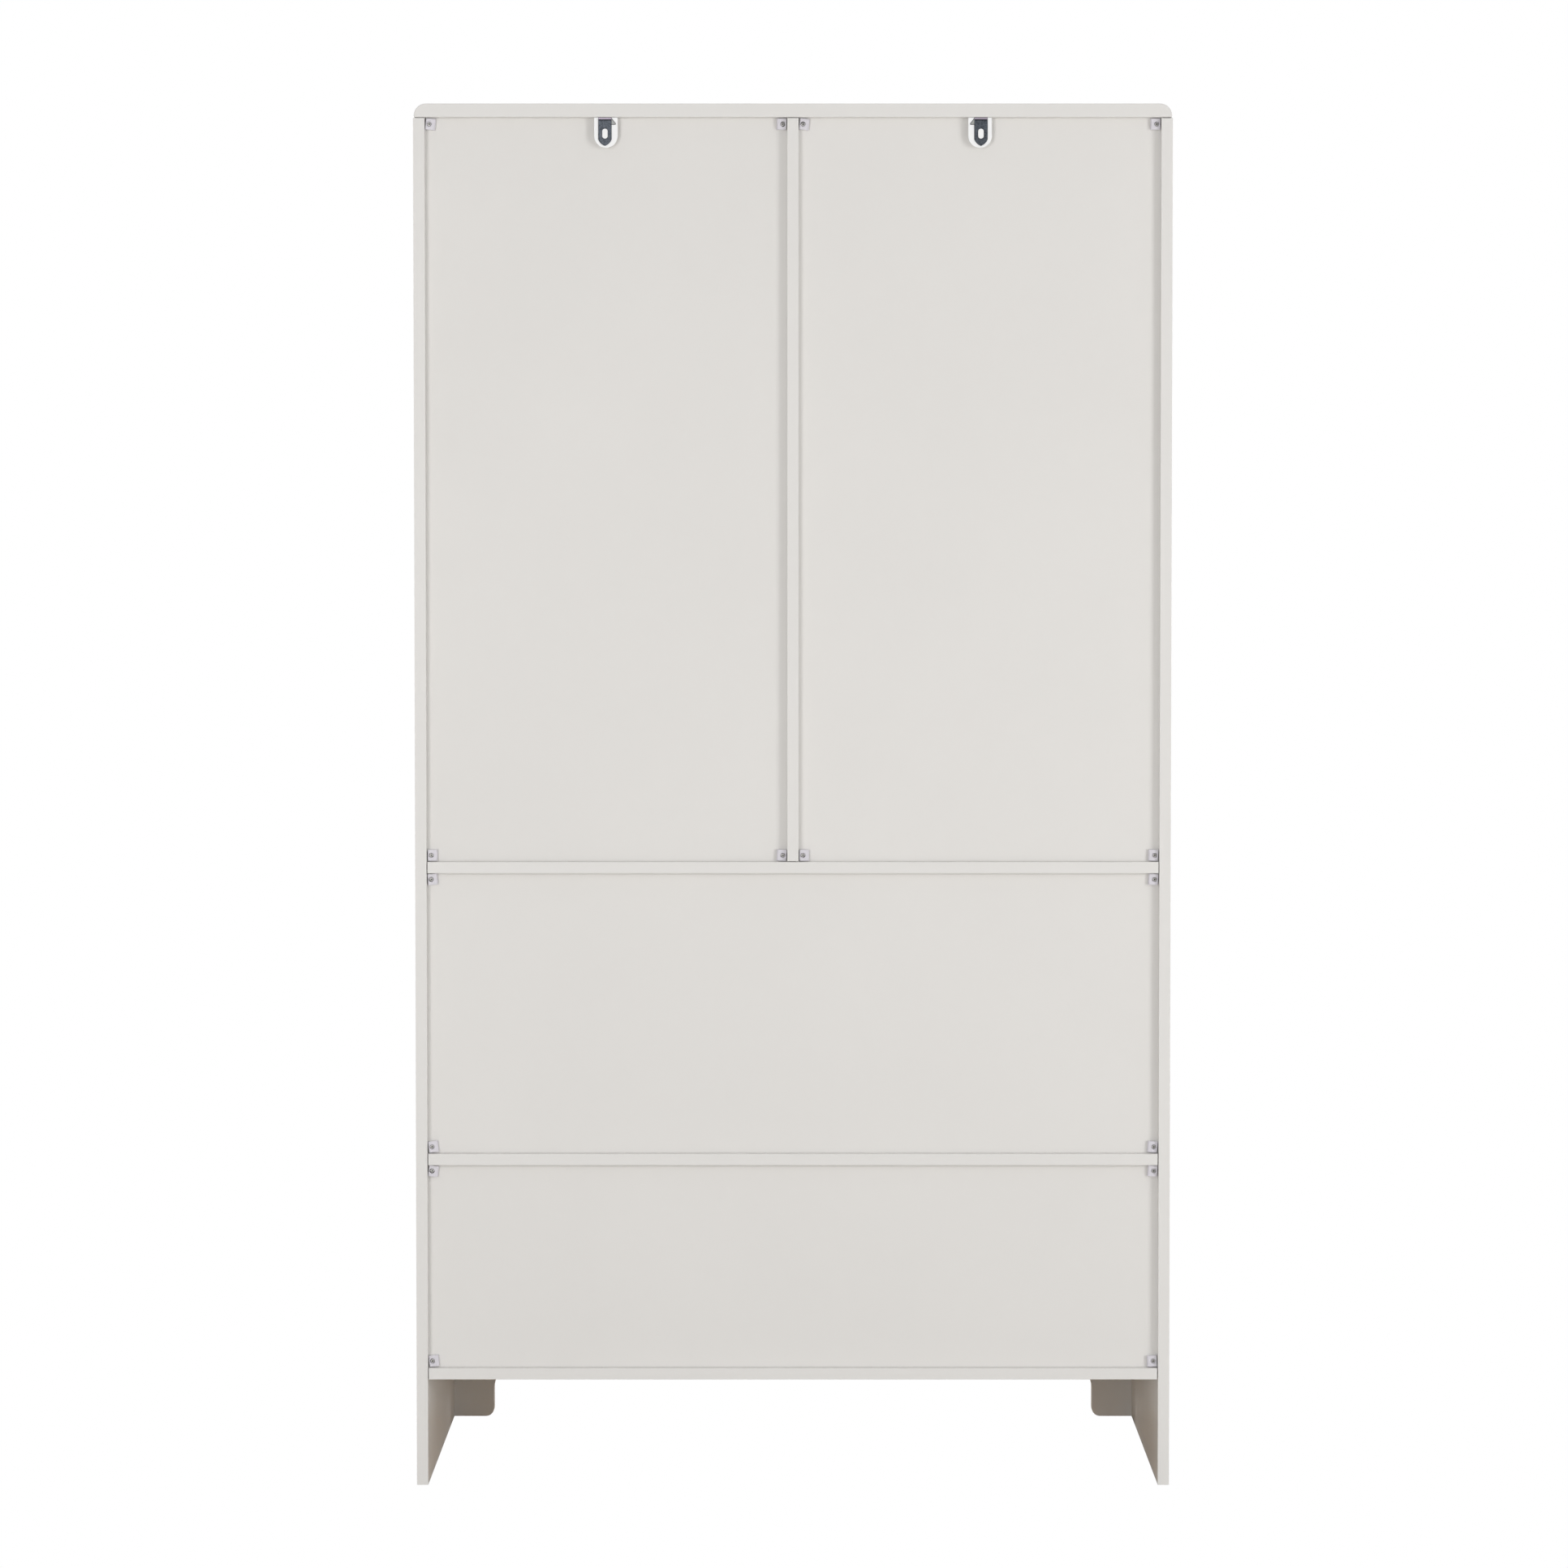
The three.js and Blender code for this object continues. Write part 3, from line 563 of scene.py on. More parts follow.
def node_copy(node, name):
    """A merged copy of a CAD node's mesh, with its flat faces whole again."""
    piece = copy_of(NODES[node], name)
    piece.data.materials.clear()
    only(piece)
    bpy.ops.mesh.customdata_custom_splitnormals_clear()
    edit(
        piece,
        "VERT",
        everything,
        partial(bpy.ops.mesh.remove_doubles, threshold=SAME_PLACE),
        partial(bpy.ops.mesh.dissolve_limited, angle_limit=FLAT),
    )
    return piece


def coated(piece, *materials):
    """Fills a piece's material slots in that order."""
    piece.data.materials.clear()
    for material in materials:
        piece.data.materials.append(bpy.data.materials[material])


def finished(piece, material, body, slot, *nodes):
    """Gives a piece its material, if one is named, and its body, and hides the nodes it replaces.
    The slot is not used.
    """
    if material:
        coated(piece, material)
    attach(piece, body)
    if nodes:
        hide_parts(*nodes)
    return piece


def stand_in(piece, material, node):
    """Finishes a piece that takes the place of one CAD node."""
    return finished(piece, material, BODY_OF[node], SLOT_OF[node], node)


def smooth(piece, angle=35):
    """Shades a piece smooth, apart from corners sharper than the angle."""
    only(piece)
    bpy.ops.object.shade_smooth_by_angle(angle=math.radians(angle))
    return piece


def turned_to(direction):
    """The turn that points +Z that way."""
    return Z_AXIS.rotation_difference(direction).to_matrix().to_4x4()


# ------------------------------------------------ screws

CROSS_WIDTH = 0.6  # of the radius of the cross
CROSS_TAPER = (0.45, 0.7, 1)
PAN_DOME = {"share": 0.6, "steps": 4}  # bevel of the rim as a share of the head's height
PAN_CROSS = {"radius": 0.62, "depth": 0.8}  # shares of the head's radius and height
FLAT_DOME = {"share": 0.7, "steps": 2}
FLAT_CROSS = {"radius": 0.6, "depth": 1.2}
SHANK_SHARE = 0.5  # of the radius of the head
SHANK_OVERLAP = 0.1 * MM


def cross_cutter(radius, depth, top):
    """Two tapered blades at right angles, which cut a cross recess and leave black painted shade on
    its walls.
    """
    narrow = partial(bpy.ops.transform.resize, value=CROSS_TAPER)
    blades = []
    for number in range(2):
        size = (2 * radius, CROSS_WIDTH * radius, 2 * depth)
        blade = block(f"blade_{number}", size, (0, 0, top))
        edit(blade, "FACE", facing(-Z_AXIS), narrow)
        blade.data.transform(Matrix.Rotation(number * math.pi / 2, 4, "Z"))
        blades.append(blade)
    cross = combine(blades[0], blades[1], "UNION")
    # The blades' faces become the recess walls, coloured black as painted shade
    coated(cross, "Blackened edge", "Blackened edge")
    for face in cross.data.polygons:
        face.material_index = 1
    return cross


def recessed(head, radius, height, cross):
    """Coats a screw's head and cuts its cross recess, whose walls are black painted shade."""
    coated(head, "Screw zinc", "Blackened edge")
    return cut(head, cross_cutter(cross["radius"] * radius, cross["depth"] * height, height))


def pan_screw(radius, height, shank):
    """A screw about +Z whose domed head sits on z = 0, with a cross recess."""
    head = rod("screw", radius, height, (0, 0, height / 2), sides=32)
    edit(head, "FACE", facing(Z_AXIS), beveller(PAN_DOME["share"] * height, PAN_DOME["steps"]))
    centre = (0, 0, -shank / 2 + SHANK_OVERLAP)
    stem = rod("shank", SHANK_SHARE * radius, shank, centre, sides=16)
    return recessed(joined("screw_master", [head, stem]), radius, height, PAN_CROSS)


def flat_screw(radius, height):
    """A low screw head about +Z that stands a little over z = 0, with a cross recess."""
    head = rod("flat_screw", radius, 2 * height, (0, 0, 0), sides=24)
    edit(head, "FACE", facing(Z_AXIS), beveller(FLAT_DOME["share"] * height, FLAT_DOME["steps"]))
    return recessed(head, radius, height, FLAT_CROSS)


def inner_x(node, way):
    """The end of a node's box that way points away from."""
    low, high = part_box(node)
    return low.x if way > 0 else high.x


def outer_x(node, way):
    """The end of a node's box that way points to."""
    low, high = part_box(node)
    return high.x if way > 0 else low.x


def set_screw(master, name, node, seat, outward, turn=0.0):
    """Puts a copy of a screw on its seat in a node, head outwards, with its recess turned."""
    place = Matrix.Translation(seat) @ turned_to(outward) @ Matrix.Rotation(turn, 4, "Z")
    finished(smooth(copy_of(master, name, place)), None, BODY_OF[node], "zinc")


# ------------------------------------------------ operators


class ArmoireOperator:
    """What all the operators share."""

    bl_options = {"REGISTER", "UNDO"}

    def execute(self, context):
        self.make(settings())
        return {"FINISHED"}


class ARMOIRE_OT_boards(ArmoireOperator, bpy.types.Operator):
    """Replaces every board, door and drawer board with one whose corners are eased"""

    bl_idname = "armoire.boards"
    bl_label = "Boards"

    def make(self, values):
        for node in BOARD_NODES:
            piece = node_copy(node, f"{node}_eased")
            if node in SLIT_ENDS:
                cut_slits(piece, node, *SLIT_ENDS[node], values.board)
            ease(piece, values.board.edge_radius, values.board.edge_steps)
            stand_in(piece, "Painted board", node)
        for node in NODES:
            if SLOT_OF[node] == "back":
                NODES[node].data.materials[0] = bpy.data.materials["Painted back board"]


def cut_slits(piece, node, axis, ends, values):
    """Cuts a joint gap behind the ends of a board, which shows as a thin dark line."""
    low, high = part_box(node)
    centre = (low + high) / 2
    size = high - low + Vector((OVERCUT,) * 3)
    size[axis] = 2 * values.slit
    size.y = 2 * values.slit_depth
    for end in ends:
        place = Vector((centre.x, high.y, centre.z))
        place[axis] = (low, high)[end][axis]
        cut(piece, block("slit", size, place))


CLIP_SCREW = {"radius": 2.6 * MM, "height": 1.3 * MM, "shank": 4 * MM}
CLIP_SCREW_DEPTH = 2.05 * MM  # rear face of a clip to the seat of its screw
CLIP_SCREW_TURN = 0.7  # radians from one clip's screw to the next
CLIP_RECESS_RADIUS = 3.35 * MM
CLIP_RECESS_DEPTH = 2 * MM
CLIP_HOLE_REACH = 4 * MM  # every corner of the hole's rim is nearer than this


class ARMOIRE_OT_clips(ArmoireOperator, bpy.types.Operator):
    """Replaces the back board clips with rounded ones, and puts a screw in each"""

    bl_idname = "armoire.clips"
    bl_label = "Back board clips"

    def make(self, values):
        fitting = values.fitting
        master = pan_screw(**CLIP_SCREW)
        for number, node in enumerate(CLIP_NODES):
            hole = clip_hole(node, fitting.clip_screw_inset)
            length = 2 * CLIP_RECESS_DEPTH
            recess = rod("recess", CLIP_RECESS_RADIUS, length, hole, Y_AXIS, sides=32)
            piece = cut(node_copy(node, f"{node}_moulded"), recess)
            stand_in(ease(piece, fitting.clip_edge, 3), "White plastic", node)
            seat = hole - CLIP_SCREW_DEPTH * Y_AXIS
            set_screw(master, f"{node}_screw", node, seat, Y_AXIS, number * CLIP_SCREW_TURN)
        bpy.data.objects.remove(master)


def clip_hole(node, inset):
    """The middle of the screw hole in a clip's rear face, wherever the clip has turned."""
    low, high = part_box(node)
    outward = -1 if node.endswith("_left") else 1
    near_x = (low.x + high.x) / 2 + outward * inset
    near_z = (low.z + high.z) / 2
    rim = []
    for vertex in NODES[node].data.vertices:
        if math.hypot(vertex.co.x - near_x, vertex.co.z - near_z) < CLIP_HOLE_REACH:
            rim.append(vertex.co)
    centre = []
    for axis in (ACROSS, UP):
        places = [co[axis] for co in rim]
        centre.append((min(places) + max(places)) / 2)
    return Vector((centre[0], high.y, centre[1]))


SLOT_DROP = 21.2 * MM  # top of a wall bracket to the middle of its slot
SLOT_WIDTH = 7.5 * MM
SLOT_LENGTH = 13.4 * MM
SLOT_CUT = 20 * MM
HALF_ROUND = 0.49  # bevel as a share of a width that makes its end half round
PLATE_END = 0.499
PLATE_THICKNESS = 2 * MM
PLATE_SETBACK = 1 * MM  # strap's rear face to the plate's
STRAP_WIDTH = 17.6 * MM
STRAP_THICKNESS = 1.2 * MM
STRAP_LENGTH = 37.2 * MM
STRAP_POINT = 8.4 * MM
STRAP_TAPER = ((0.81, 5.3 * MM), (0.58, 2.85 * MM), (0.31, 1.1 * MM), (0.04, 0))
BEND_HEIGHT = 2.8 * MM
GROOVE_HEIGHT = 1 * MM
GROOVE_DEPTH = 0.7 * MM
GUSSET_REACH = 5.5 * MM
GUSSET_HEIGHT = 9.5 * MM
GUSSET_TIP = 1.6 * MM
GUSSET_THICKNESS = 1.4 * MM
GUSSET_ROOT = 0.6 * MM  # how far it runs into the strap
PLUG_PLAY = 0.2 * MM
PLUG_THICKNESS = 2.6 * MM


class ARMOIRE_OT_wall_brackets(ArmoireOperator, bpy.types.Operator):
    """Builds each wall bracket from a white plate, a dark slotted strap, a gusset and a slot cap"""

    bl_idname = "armoire.wall_brackets"
    bl_label = "Wall brackets"

    def make(self, values):
        for side, way in SIDES.items():
            node = f"wall_bracket_{side}"
            low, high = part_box(node)
            body = BODY_OF[node]
            x = (low.x + high.x) / 2 + way * values.fitting.strap_offset
            slot = Vector((x, high.y, high.z - SLOT_DROP))
            plate = bracket_plate(f"{node}_plate", low, high, slot)
            finished(plate, "White lacquer", body, "zinc", node)
            finished(bracket_strap(f"{node}_strap", high, slot), None, body, "zinc", node)
            finished(bracket_gusset(f"{node}_gusset", high, x, way), None, body, "zinc", node)
            finished(slot_plug(f"{node}_plug", slot), "White lacquer", body, "plastic")


def bracket_plate(name, low, high, slot):
    """The white plate: its flange under the top, and a leg with a half-round end."""
    x = (low.x + high.x) / 2
    rear = high.y - PLATE_SETBACK
    width = high.x - low.x
    centre = (x, rear - PLATE_THICKNESS / 2, (low.z + high.z) / 2)
    leg = block(f"{name}_leg", (width, PLATE_THICKNESS, high.z - low.z), centre)
    at_foot = edges_along(Y_AXIS, lambda place: place.z < centre[UP])
    edit(leg, "EDGE", at_foot, beveller(PLATE_END * width, 14))
    cut(leg, slot_cutter(slot))
    reach = rear - PLATE_THICKNESS / 2 - low.y
    flange_centre = (x, low.y + reach / 2, high.z - PLATE_THICKNESS / 2)
    flange = block(f"{name}_flange", (width, reach, PLATE_THICKNESS), flange_centre)
    return joined(name, [ease(leg, 0.3 * MM, 2), ease(flange, 0.3 * MM, 2)])


def slot_block(name, width, length, thickness, centre):
    """An upright block with half-round ends."""
    piece = block(name, (width, thickness, length), centre)
    edit(piece, "EDGE", edges_along(Y_AXIS), beveller(HALF_ROUND * width, 8))
    return piece


def slot_cutter(centre):
    """The wall screw's upright slot."""
    return slot_block("slot", SLOT_WIDTH, SLOT_LENGTH, SLOT_CUT, centre)


def taper_steps(start, taper):
    """The steps that draw a downward face out to a point, stage by stage."""
    steps = []
    share, height = (1.0, start)
    for next_share, next_height in taper:
        move = {"value": (0, 0, next_height - height)}
        steps.append(partial(bpy.ops.mesh.extrude_region_move, TRANSFORM_OT_translate=move))
        steps.append(partial(bpy.ops.transform.resize, value=(next_share / share, 1, 1)))
        share, height = (next_share, next_height)
    return steps


def bracket_strap(name, high, slot):
    """The dark strap: a lilac painted reflection along the bend at its top, a groove under that,
    edges darkened with black painted shade, and a point.
    """
    shoulder = high.z - STRAP_LENGTH + STRAP_POINT
    centre = (slot.x, high.y - STRAP_THICKNESS / 2, (high.z + shoulder) / 2)
    strap = block(name, (STRAP_WIDTH, STRAP_THICKNESS, high.z - shoulder), centre)
    edit(strap, "FACE", facing(-Z_AXIS), *taper_steps(STRAP_POINT, STRAP_TAPER))
    cut(strap, slot_cutter(slot))
    groove_size = (2 * STRAP_WIDTH, 2 * GROOVE_DEPTH, GROOVE_HEIGHT)
    groove_centre = (slot.x, high.y, high.z - BEND_HEIGHT - GROOVE_HEIGHT / 2)
    cut(strap, block("groove", groove_size, groove_centre))
    # Slot 1 is black painted shade on the eased edges; slot 2 is a lilac painted reflection along
    # the bend
    coated(strap, "Dark steel", "Blackened edge", "Bare bend")
    for face in strap.data.polygons:
        face.material_index = 2 if face.center.z > high.z - BEND_HEIGHT else 0
    return ease(strap, 0.6 * MM, 2, edge_material=1)


def bracket_gusset(name, high, x, way):
    """The small three-cornered tab on the inner side of the strap."""
    root = x - way * STRAP_WIDTH / 2
    across = root - way * (GUSSET_REACH - GUSSET_ROOT) / 2
    centre = (across, high.y - GUSSET_THICKNESS / 2, high.z - GUSSET_HEIGHT / 2)
    size = (GUSSET_REACH + GUSSET_ROOT, GUSSET_THICKNESS, GUSSET_HEIGHT)
    gusset = block(name, size, centre)

    def outer_top(mesh, vertex):
        return vertex.co.z > high.z - MM and way * (vertex.co.x - root) < -MM

    drop = partial(bpy.ops.transform.translate, value=(0, 0, GUSSET_TIP - GUSSET_HEIGHT))
    edit(gusset, "VERT", outer_top, drop)
    # Its eased edges take the black painted shade
    coated(gusset, "Grey steel", "Blackened edge")
    return ease(gusset, 0.6 * MM, 1, edge_material=1)


def slot_plug(name, slot):
    """A white cap that closes the slot until the wall screw goes in."""
    centre = slot - (PLUG_THICKNESS / 2 + PLUG_PLAY) * Y_AXIS
    size = (SLOT_WIDTH - PLUG_PLAY, SLOT_LENGTH - PLUG_PLAY, PLUG_THICKNESS)
    return ease(slot_block(name, *size, centre), 0.5 * MM, 3)


HANDLES = {
    "door_handle_left": ("door_left", Z_AXIS, "Nickel along Z"),
    "door_handle_right": ("door_right", Z_AXIS, "Nickel along Z"),
    "drawer_handle": ("drawer_front", X_AXIS, "Nickel along X"),
}
HANDLE_SCREW = {"radius": 3.5 * MM, "height": 2 * MM, "shank": 3 * MM}
BAR_RADIUS = 5 * MM
POST_SPACING = 128 * MM
POST_RADIUS = 4 * MM
ROSETTE_RADIUS = 7 * MM
ROSETTE_THICKNESS = 2 * MM


class ARMOIRE_OT_handles(ArmoireOperator, bpy.types.Operator):
    """Replaces the bar handles with finely turned ones, and screws them on from inside"""

    bl_idname = "armoire.handles"
    bl_label = "Handles"

    def make(self, values):
        master = pan_screw(**HANDLE_SCREW)
        for node, (board, along, material) in HANDLES.items():
            low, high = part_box(node)
            stand_in(bar_handle(f"{node}_turned", low, high, along), material, node)
            for way, end in ((-1, "low"), (1, "high")):
                seat = (low + high) / 2 + way * POST_SPACING / 2 * along
                seat.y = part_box(board)[1].y
                set_screw(master, f"{node}_screw_{end}", node, seat, Y_AXIS)
        bpy.data.objects.remove(master)


def bar_handle(name, low, high, along):
    """A round bar on two posts, each with a rosette against the board."""
    length = (high - low).dot(along)
    centre = (low + high) / 2
    bar_centre = Vector((centre.x, low.y + BAR_RADIUS, centre.z))
    bar = rod(f"{name}_bar", BAR_RADIUS, length, bar_centre, along, sides=48)
    edit(bar, "FACE", facing_either_way(along), beveller(1.6 * MM, 5))
    pieces = [bar]
    for way in (-1, 1):
        foot = bar_centre + way * POST_SPACING / 2 * along
        reach = high.y - bar_centre.y
        post_centre = foot + reach / 2 * Y_AXIS
        post = rod(f"{name}_post", POST_RADIUS, reach, post_centre, Y_AXIS, sides=32)
        seat = Vector((foot.x, high.y - ROSETTE_THICKNESS / 2, foot.z))
        rosette = rod(
            f"{name}_rosette", ROSETTE_RADIUS, ROSETTE_THICKNESS, seat, Y_AXIS, sides=40
        )
        edit(rosette, "FACE", facing(-Y_AXIS), beveller(0.9 * MM, 4))
        pieces += [post, rosette]
    return smooth(joined(name, pieces))


TUBE_WALL = 1.5 * MM
SOCKET_SCREW = {"radius": 3.2 * MM, "height": 1.8 * MM, "shank": 8 * MM}
SOCKET_SCREW_CIRCLE = 20 * MM
SOCKET_FLANGE = 3 * MM


class ARMOIRE_OT_hanging_rail(ArmoireOperator, bpy.types.Operator):
    """Replaces the hanging rail and its sockets with round ones, and screws the sockets on"""

    bl_idname = "armoire.hanging_rail"
    bl_label = "Hanging rail"

    def make(self, values):
        low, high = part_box("hanging_rail")
        centre = (low + high) / 2
        radius = (high.z - low.z) / 2
        length = high.x - low.x
        tube = rod("hanging_rail_tube", radius, length, centre, X_AXIS, sides=64)
        bore = rod("bore", radius - TUBE_WALL, length + OVERCUT, centre, X_AXIS, sides=64)
        stand_in(ease(cut(tube, bore), 0.3 * MM, 2), "Nickel along X", "hanging_rail")
        master = pan_screw(**SOCKET_SCREW)
        for node, way in (("rail_socket_outer", 1), ("rail_socket_inner", -1)):
            socket = ease(node_copy(node, f"{node}_cast"), 0.6 * MM, 3)
            stand_in(smooth(socket), "Bright zinc", node)
            x = inner_x(node, way) + way * SOCKET_FLANGE
            for number in range(3):
                angle = math.radians(90 + 120 * number)
                ray = Vector((0, math.cos(angle), math.sin(angle)))
                seat = Vector((x, centre.y, centre.z)) + SOCKET_SCREW_CIRCLE * ray
                set_screw(master, f"{node}_screw_{number + 1}", node, seat, way * X_AXIS)
        bpy.data.objects.remove(master)


HINGE_SCREW = {"radius": 2.6 * MM, "height": 0.25 * MM}
HINGE_SCREWS = 14  # in each leaf
HINGE_SCREW_INSET = 5 * MM
HINGE_SCREW_TURN = 1.1  # radians from one screw to the next
LEAF_THICKNESS = 1 * MM


class ARMOIRE_OT_hinges(ArmoireOperator, bpy.types.Operator):
    """Smooths the continuous hinges and sets flat-headed screws in their leaves"""

    bl_idname = "armoire.hinges"
    bl_label = "Hinges"

    def make(self, values):
        master = flat_screw(**HINGE_SCREW)
        for side, way in SIDES.items():
            for leaf, outward in (("frame_leaf", -Y_AXIS), ("door_leaf", Y_AXIS)):
                node = f"hinge_{leaf}_{side}"
                low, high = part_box(node)
                piece = ease(node_copy(node, f"{node}_rolled"), 0.15 * MM, 1)
                stand_in(smooth(piece, 40), "Bright zinc", node)
                x = inner_x(node, way) + way * HINGE_SCREW_INSET
                y = high.y - LEAF_THICKNESS if leaf == "frame_leaf" else low.y + LEAF_THICKNESS
                screws_along(master, node, Vector((x, y, low.z)), high.z - low.z, outward)
            NODES[f"hinge_pin_{side}"].data.materials[0] = bpy.data.materials["Screw steel"]
        bpy.data.objects.remove(master)


def screws_along(master, node, start, length, outward):
    """A row of screws up a hinge leaf, evenly spaced from end to end."""
    pitch = length / HINGE_SCREWS
    for number in range(HINGE_SCREWS):
        seat = start + (number + 0.5) * pitch * Z_AXIS
        name = f"{node}_screw_{number + 1:02d}"
        set_screw(master, name, node, seat, outward, number * HINGE_SCREW_TURN)


CAGE_STEEL = 0.6 * MM
CAGE_LENGTH = 160 * MM
CAGE_START = 8 * MM  # behind the front end of the runner
CAGE_INSET = 2 * MM  # outer face of the runner to the middle of the cage's web
CAGE_REACH = 7 * MM
CAGE_BALLS = 19  # in each row
BALL_ROW = 19.3 * MM  # above and below the axis of the runner
BALL_OFFSET = 4 * MM
BALL_RADIUS = 1.6 * MM
RUNNER_SCREW = {"radius": 3 * MM, "height": 1.5 * MM, "shank": 4 * MM}
RUNNER_SCREW_SHARES = (0.12, 0.5, 0.88)  # of the length of the runner
RUNNER_STEEL = 1.4 * MM


class ARMOIRE_OT_runners(ArmoireOperator, bpy.types.Operator):
    """Eases the drawer runners, and adds their ball cages and their screws"""

    bl_idname = "armoire.runners"
    bl_label = "Drawer runners"

    def make(self, values):
        for side, way in SIDES.items():
            cabinet_node = f"cabinet_runner_{side}"
            drawer_node = f"drawer_runner_{side}"
            for node in (cabinet_node, drawer_node):
                piece = ease(node_copy(node, f"{node}_formed"), 0.4 * MM, 2)
                stand_in(piece, "Runner steel", node)
            cage = ball_cage(f"ball_cage_{side}", cabinet_node, way)
            finished(cage, "Grey steel", BODY_OF[cabinet_node], "zinc")
            runner_screws(drawer_node, way)


def ball_cage(name, node, way):
    """A steel strip inside the cabinet runner whose two lips each hold a row of balls."""
    low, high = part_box(node)
    x = outer_x(node, way) - way * CAGE_INSET
    centre = Vector((x, low.y + CAGE_START + CAGE_LENGTH / 2, (low.z + high.z) / 2))
    bpy.ops.object.select_all(action="DESELECT")
    bpy.ops.mesh.primitive_uv_sphere_add(segments=16, ring_count=8, radius=BALL_RADIUS)
    ball = named("ball")
    pieces = [block(name, (CAGE_STEEL, CAGE_LENGTH, 2 * BALL_ROW + CAGE_STEEL), centre)]
    for row in (-1, 1):
        lip_centre = centre + Vector((-way * CAGE_REACH / 2, 0, row * BALL_ROW))
        pieces.append(block("lip", (CAGE_REACH, CAGE_LENGTH, CAGE_STEEL), lip_centre))
        for number in range(CAGE_BALLS):
            y = ((number + 0.5) / CAGE_BALLS - 0.5) * CAGE_LENGTH
            place = centre + Vector((-way * BALL_OFFSET, y, row * BALL_ROW))
            pieces.append(copy_of(ball, f"ball_{number}", Matrix.Translation(place)))
    bpy.data.objects.remove(ball)
    return smooth(joined(name, pieces))


def runner_screws(node, way):
    """The screws that hold a drawer runner to the drawer's side."""
    master = pan_screw(**RUNNER_SCREW)
    low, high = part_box(node)
    x = inner_x(node, way) + way * RUNNER_STEEL
    for number, share in enumerate(RUNNER_SCREW_SHARES, 1):
        seat = Vector((x, low.y + share * (high.y - low.y), (low.z + high.z) / 2))
        set_screw(master, f"{node}_screw_{number}", node, seat, way * X_AXIS)
    bpy.data.objects.remove(master)


# Where the bumpers sit behind the front boards: out from the middle, and up
DOOR_BUMPERS = ((4.6 * MM, 870 * MM), (4.6 * MM, 1740 * MM), (60 * MM, 439.2 * MM))
DRAWER_BUMPERS = ((491.5 * MM, 180 * MM), (491.5 * MM, 400 * MM))
BUMPER_RADIUS = 2.8 * MM
BUMPER_THICKNESS = 3 * MM


class ARMOIRE_OT_bumpers(ArmoireOperator, bpy.types.Operator):
    """Sticks small soft bumpers behind the doors and the drawer front"""

    bl_idname = "armoire.bumpers"
    bl_label = "Bumpers"

    def make(self, values):
        for side, way in SIDES.items():
            for board, places in ((f"door_{side}", DOOR_BUMPERS), ("drawer_front", DRAWER_BUMPERS)):
                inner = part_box(board)[1].y
                for number, (x, z) in enumerate(places, 1):
                    name = f"{board}_bumper_{side}_{number}"
                    centre = (way * x, inner + BUMPER_THICKNESS / 2, z)
                    dot = rod(name, BUMPER_RADIUS, BUMPER_THICKNESS, centre, Y_AXIS, sides=32)
                    edit(dot, "FACE", facing(Y_AXIS), beveller(1 * MM, 4))
                    finished(smooth(dot), "Catch plastic", BODY_OF[board], "plastic")


class ARMOIRE_OT_catches(ArmoireOperator, bpy.types.Operator):
    """Rounds the magnetic catches and eases their plates"""

    bl_idname = "armoire.catches"
    bl_label = "Magnetic catches"

    def make(self, values):
        for side in SIDES:
            magnet = f"catch_magnet_{side}"
            housing = ease(node_copy(magnet, f"{magnet}_moulded"), 1.2 * MM, 4)
            stand_in(housing, "Catch plastic", magnet)
            plate = f"catch_plate_{side}"
            stand_in(ease(node_copy(plate, f"{plate}_pressed"), 0.3 * MM, 2), "Bright zinc", plate)


PIN_INSET = 40 * MM  # front or rear edge of a shelf to its pins
PIN_DROP = 3 * MM
PIN_RADIUS = 2.4 * MM
PIN_LENGTH = 16 * MM
PIN_OFFSET = 1 * MM  # end of the shelf to the middle of a pin
COLLAR_RADIUS = 4.2 * MM
COLLAR_THICKNESS = 1.2 * MM
COLLAR_OFFSET = 0.8 * MM
PIN_TRIM = (20 * MM, 20 * MM, 10 * MM)


class ARMOIRE_OT_shelf_pins(ArmoireOperator, bpy.types.Operator):
    """Puts four steel pins under each adjustable shelf"""

    bl_idname = "armoire.shelf_pins"
    bl_label = "Shelf pins"

    def make(self, values):
        for node in sorted(NODES):
            if node.startswith("adjustable_shelf"):
                shelf_pins(node)


def shelf_pins(node):
    """Four pins with collars, flat on top where the shelf lies on them."""
    low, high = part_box(node)
    z = low.z - PIN_DROP
    number = 0
    for x, way in ((low.x - PIN_OFFSET, 1), (high.x + PIN_OFFSET, -1)):
        for y in (low.y + PIN_INSET, high.y - PIN_INSET):
            number += 1
            name = f"{node}_pin_{number}"
            stem = rod(name, PIN_RADIUS, PIN_LENGTH, (x, y, z), X_AXIS, sides=24)
            seat = (x + way * COLLAR_OFFSET, y, z)
            collar = rod(f"{name}_collar", COLLAR_RADIUS, COLLAR_THICKNESS, seat, X_AXIS, sides=24)
            trim = block("trim", PIN_TRIM, (x, y, low.z + PIN_TRIM[UP] / 2))
            pin = cut(joined(name, [stem, collar]), trim)
            finished(smooth(pin), "Screw steel", BODY_OF[node], "zinc")


# ------------------------------------------------ stage

FLOOR_SIZE = (60, 60)
FLOOR_DROP = 1 * MM  # under the feet
FLOOR_BOUNCE = (0.72, 0.70, 0.67)
WARM_SIZE = (0.96, 0.5)
WARM_DROP = 0.5 * MM
WARM_BOUNCE = (0.60, 0.41, 0.21)
WHITE = (1, 1, 1, 1)
LIGHT_WIDTH = 1.4
LIGHT_LENGTH = 3.0
# Name, the setting that gives the power, and place
LIGHTS = (
    ("rear_wide", "side_power", (-3.3, 3.6, 1.0)),
    ("rear_near", "side_power", (2.0, 5.0, 1.0)),
    ("front_left", "front_power", (-2.6, -4.2, 1.0)),
    ("front_right", "front_power", (2.6, -4.2, 1.0)),
    ("top", "top_power", (0, -1.6, 4.2)),
)
SENSOR_WIDTH = 36


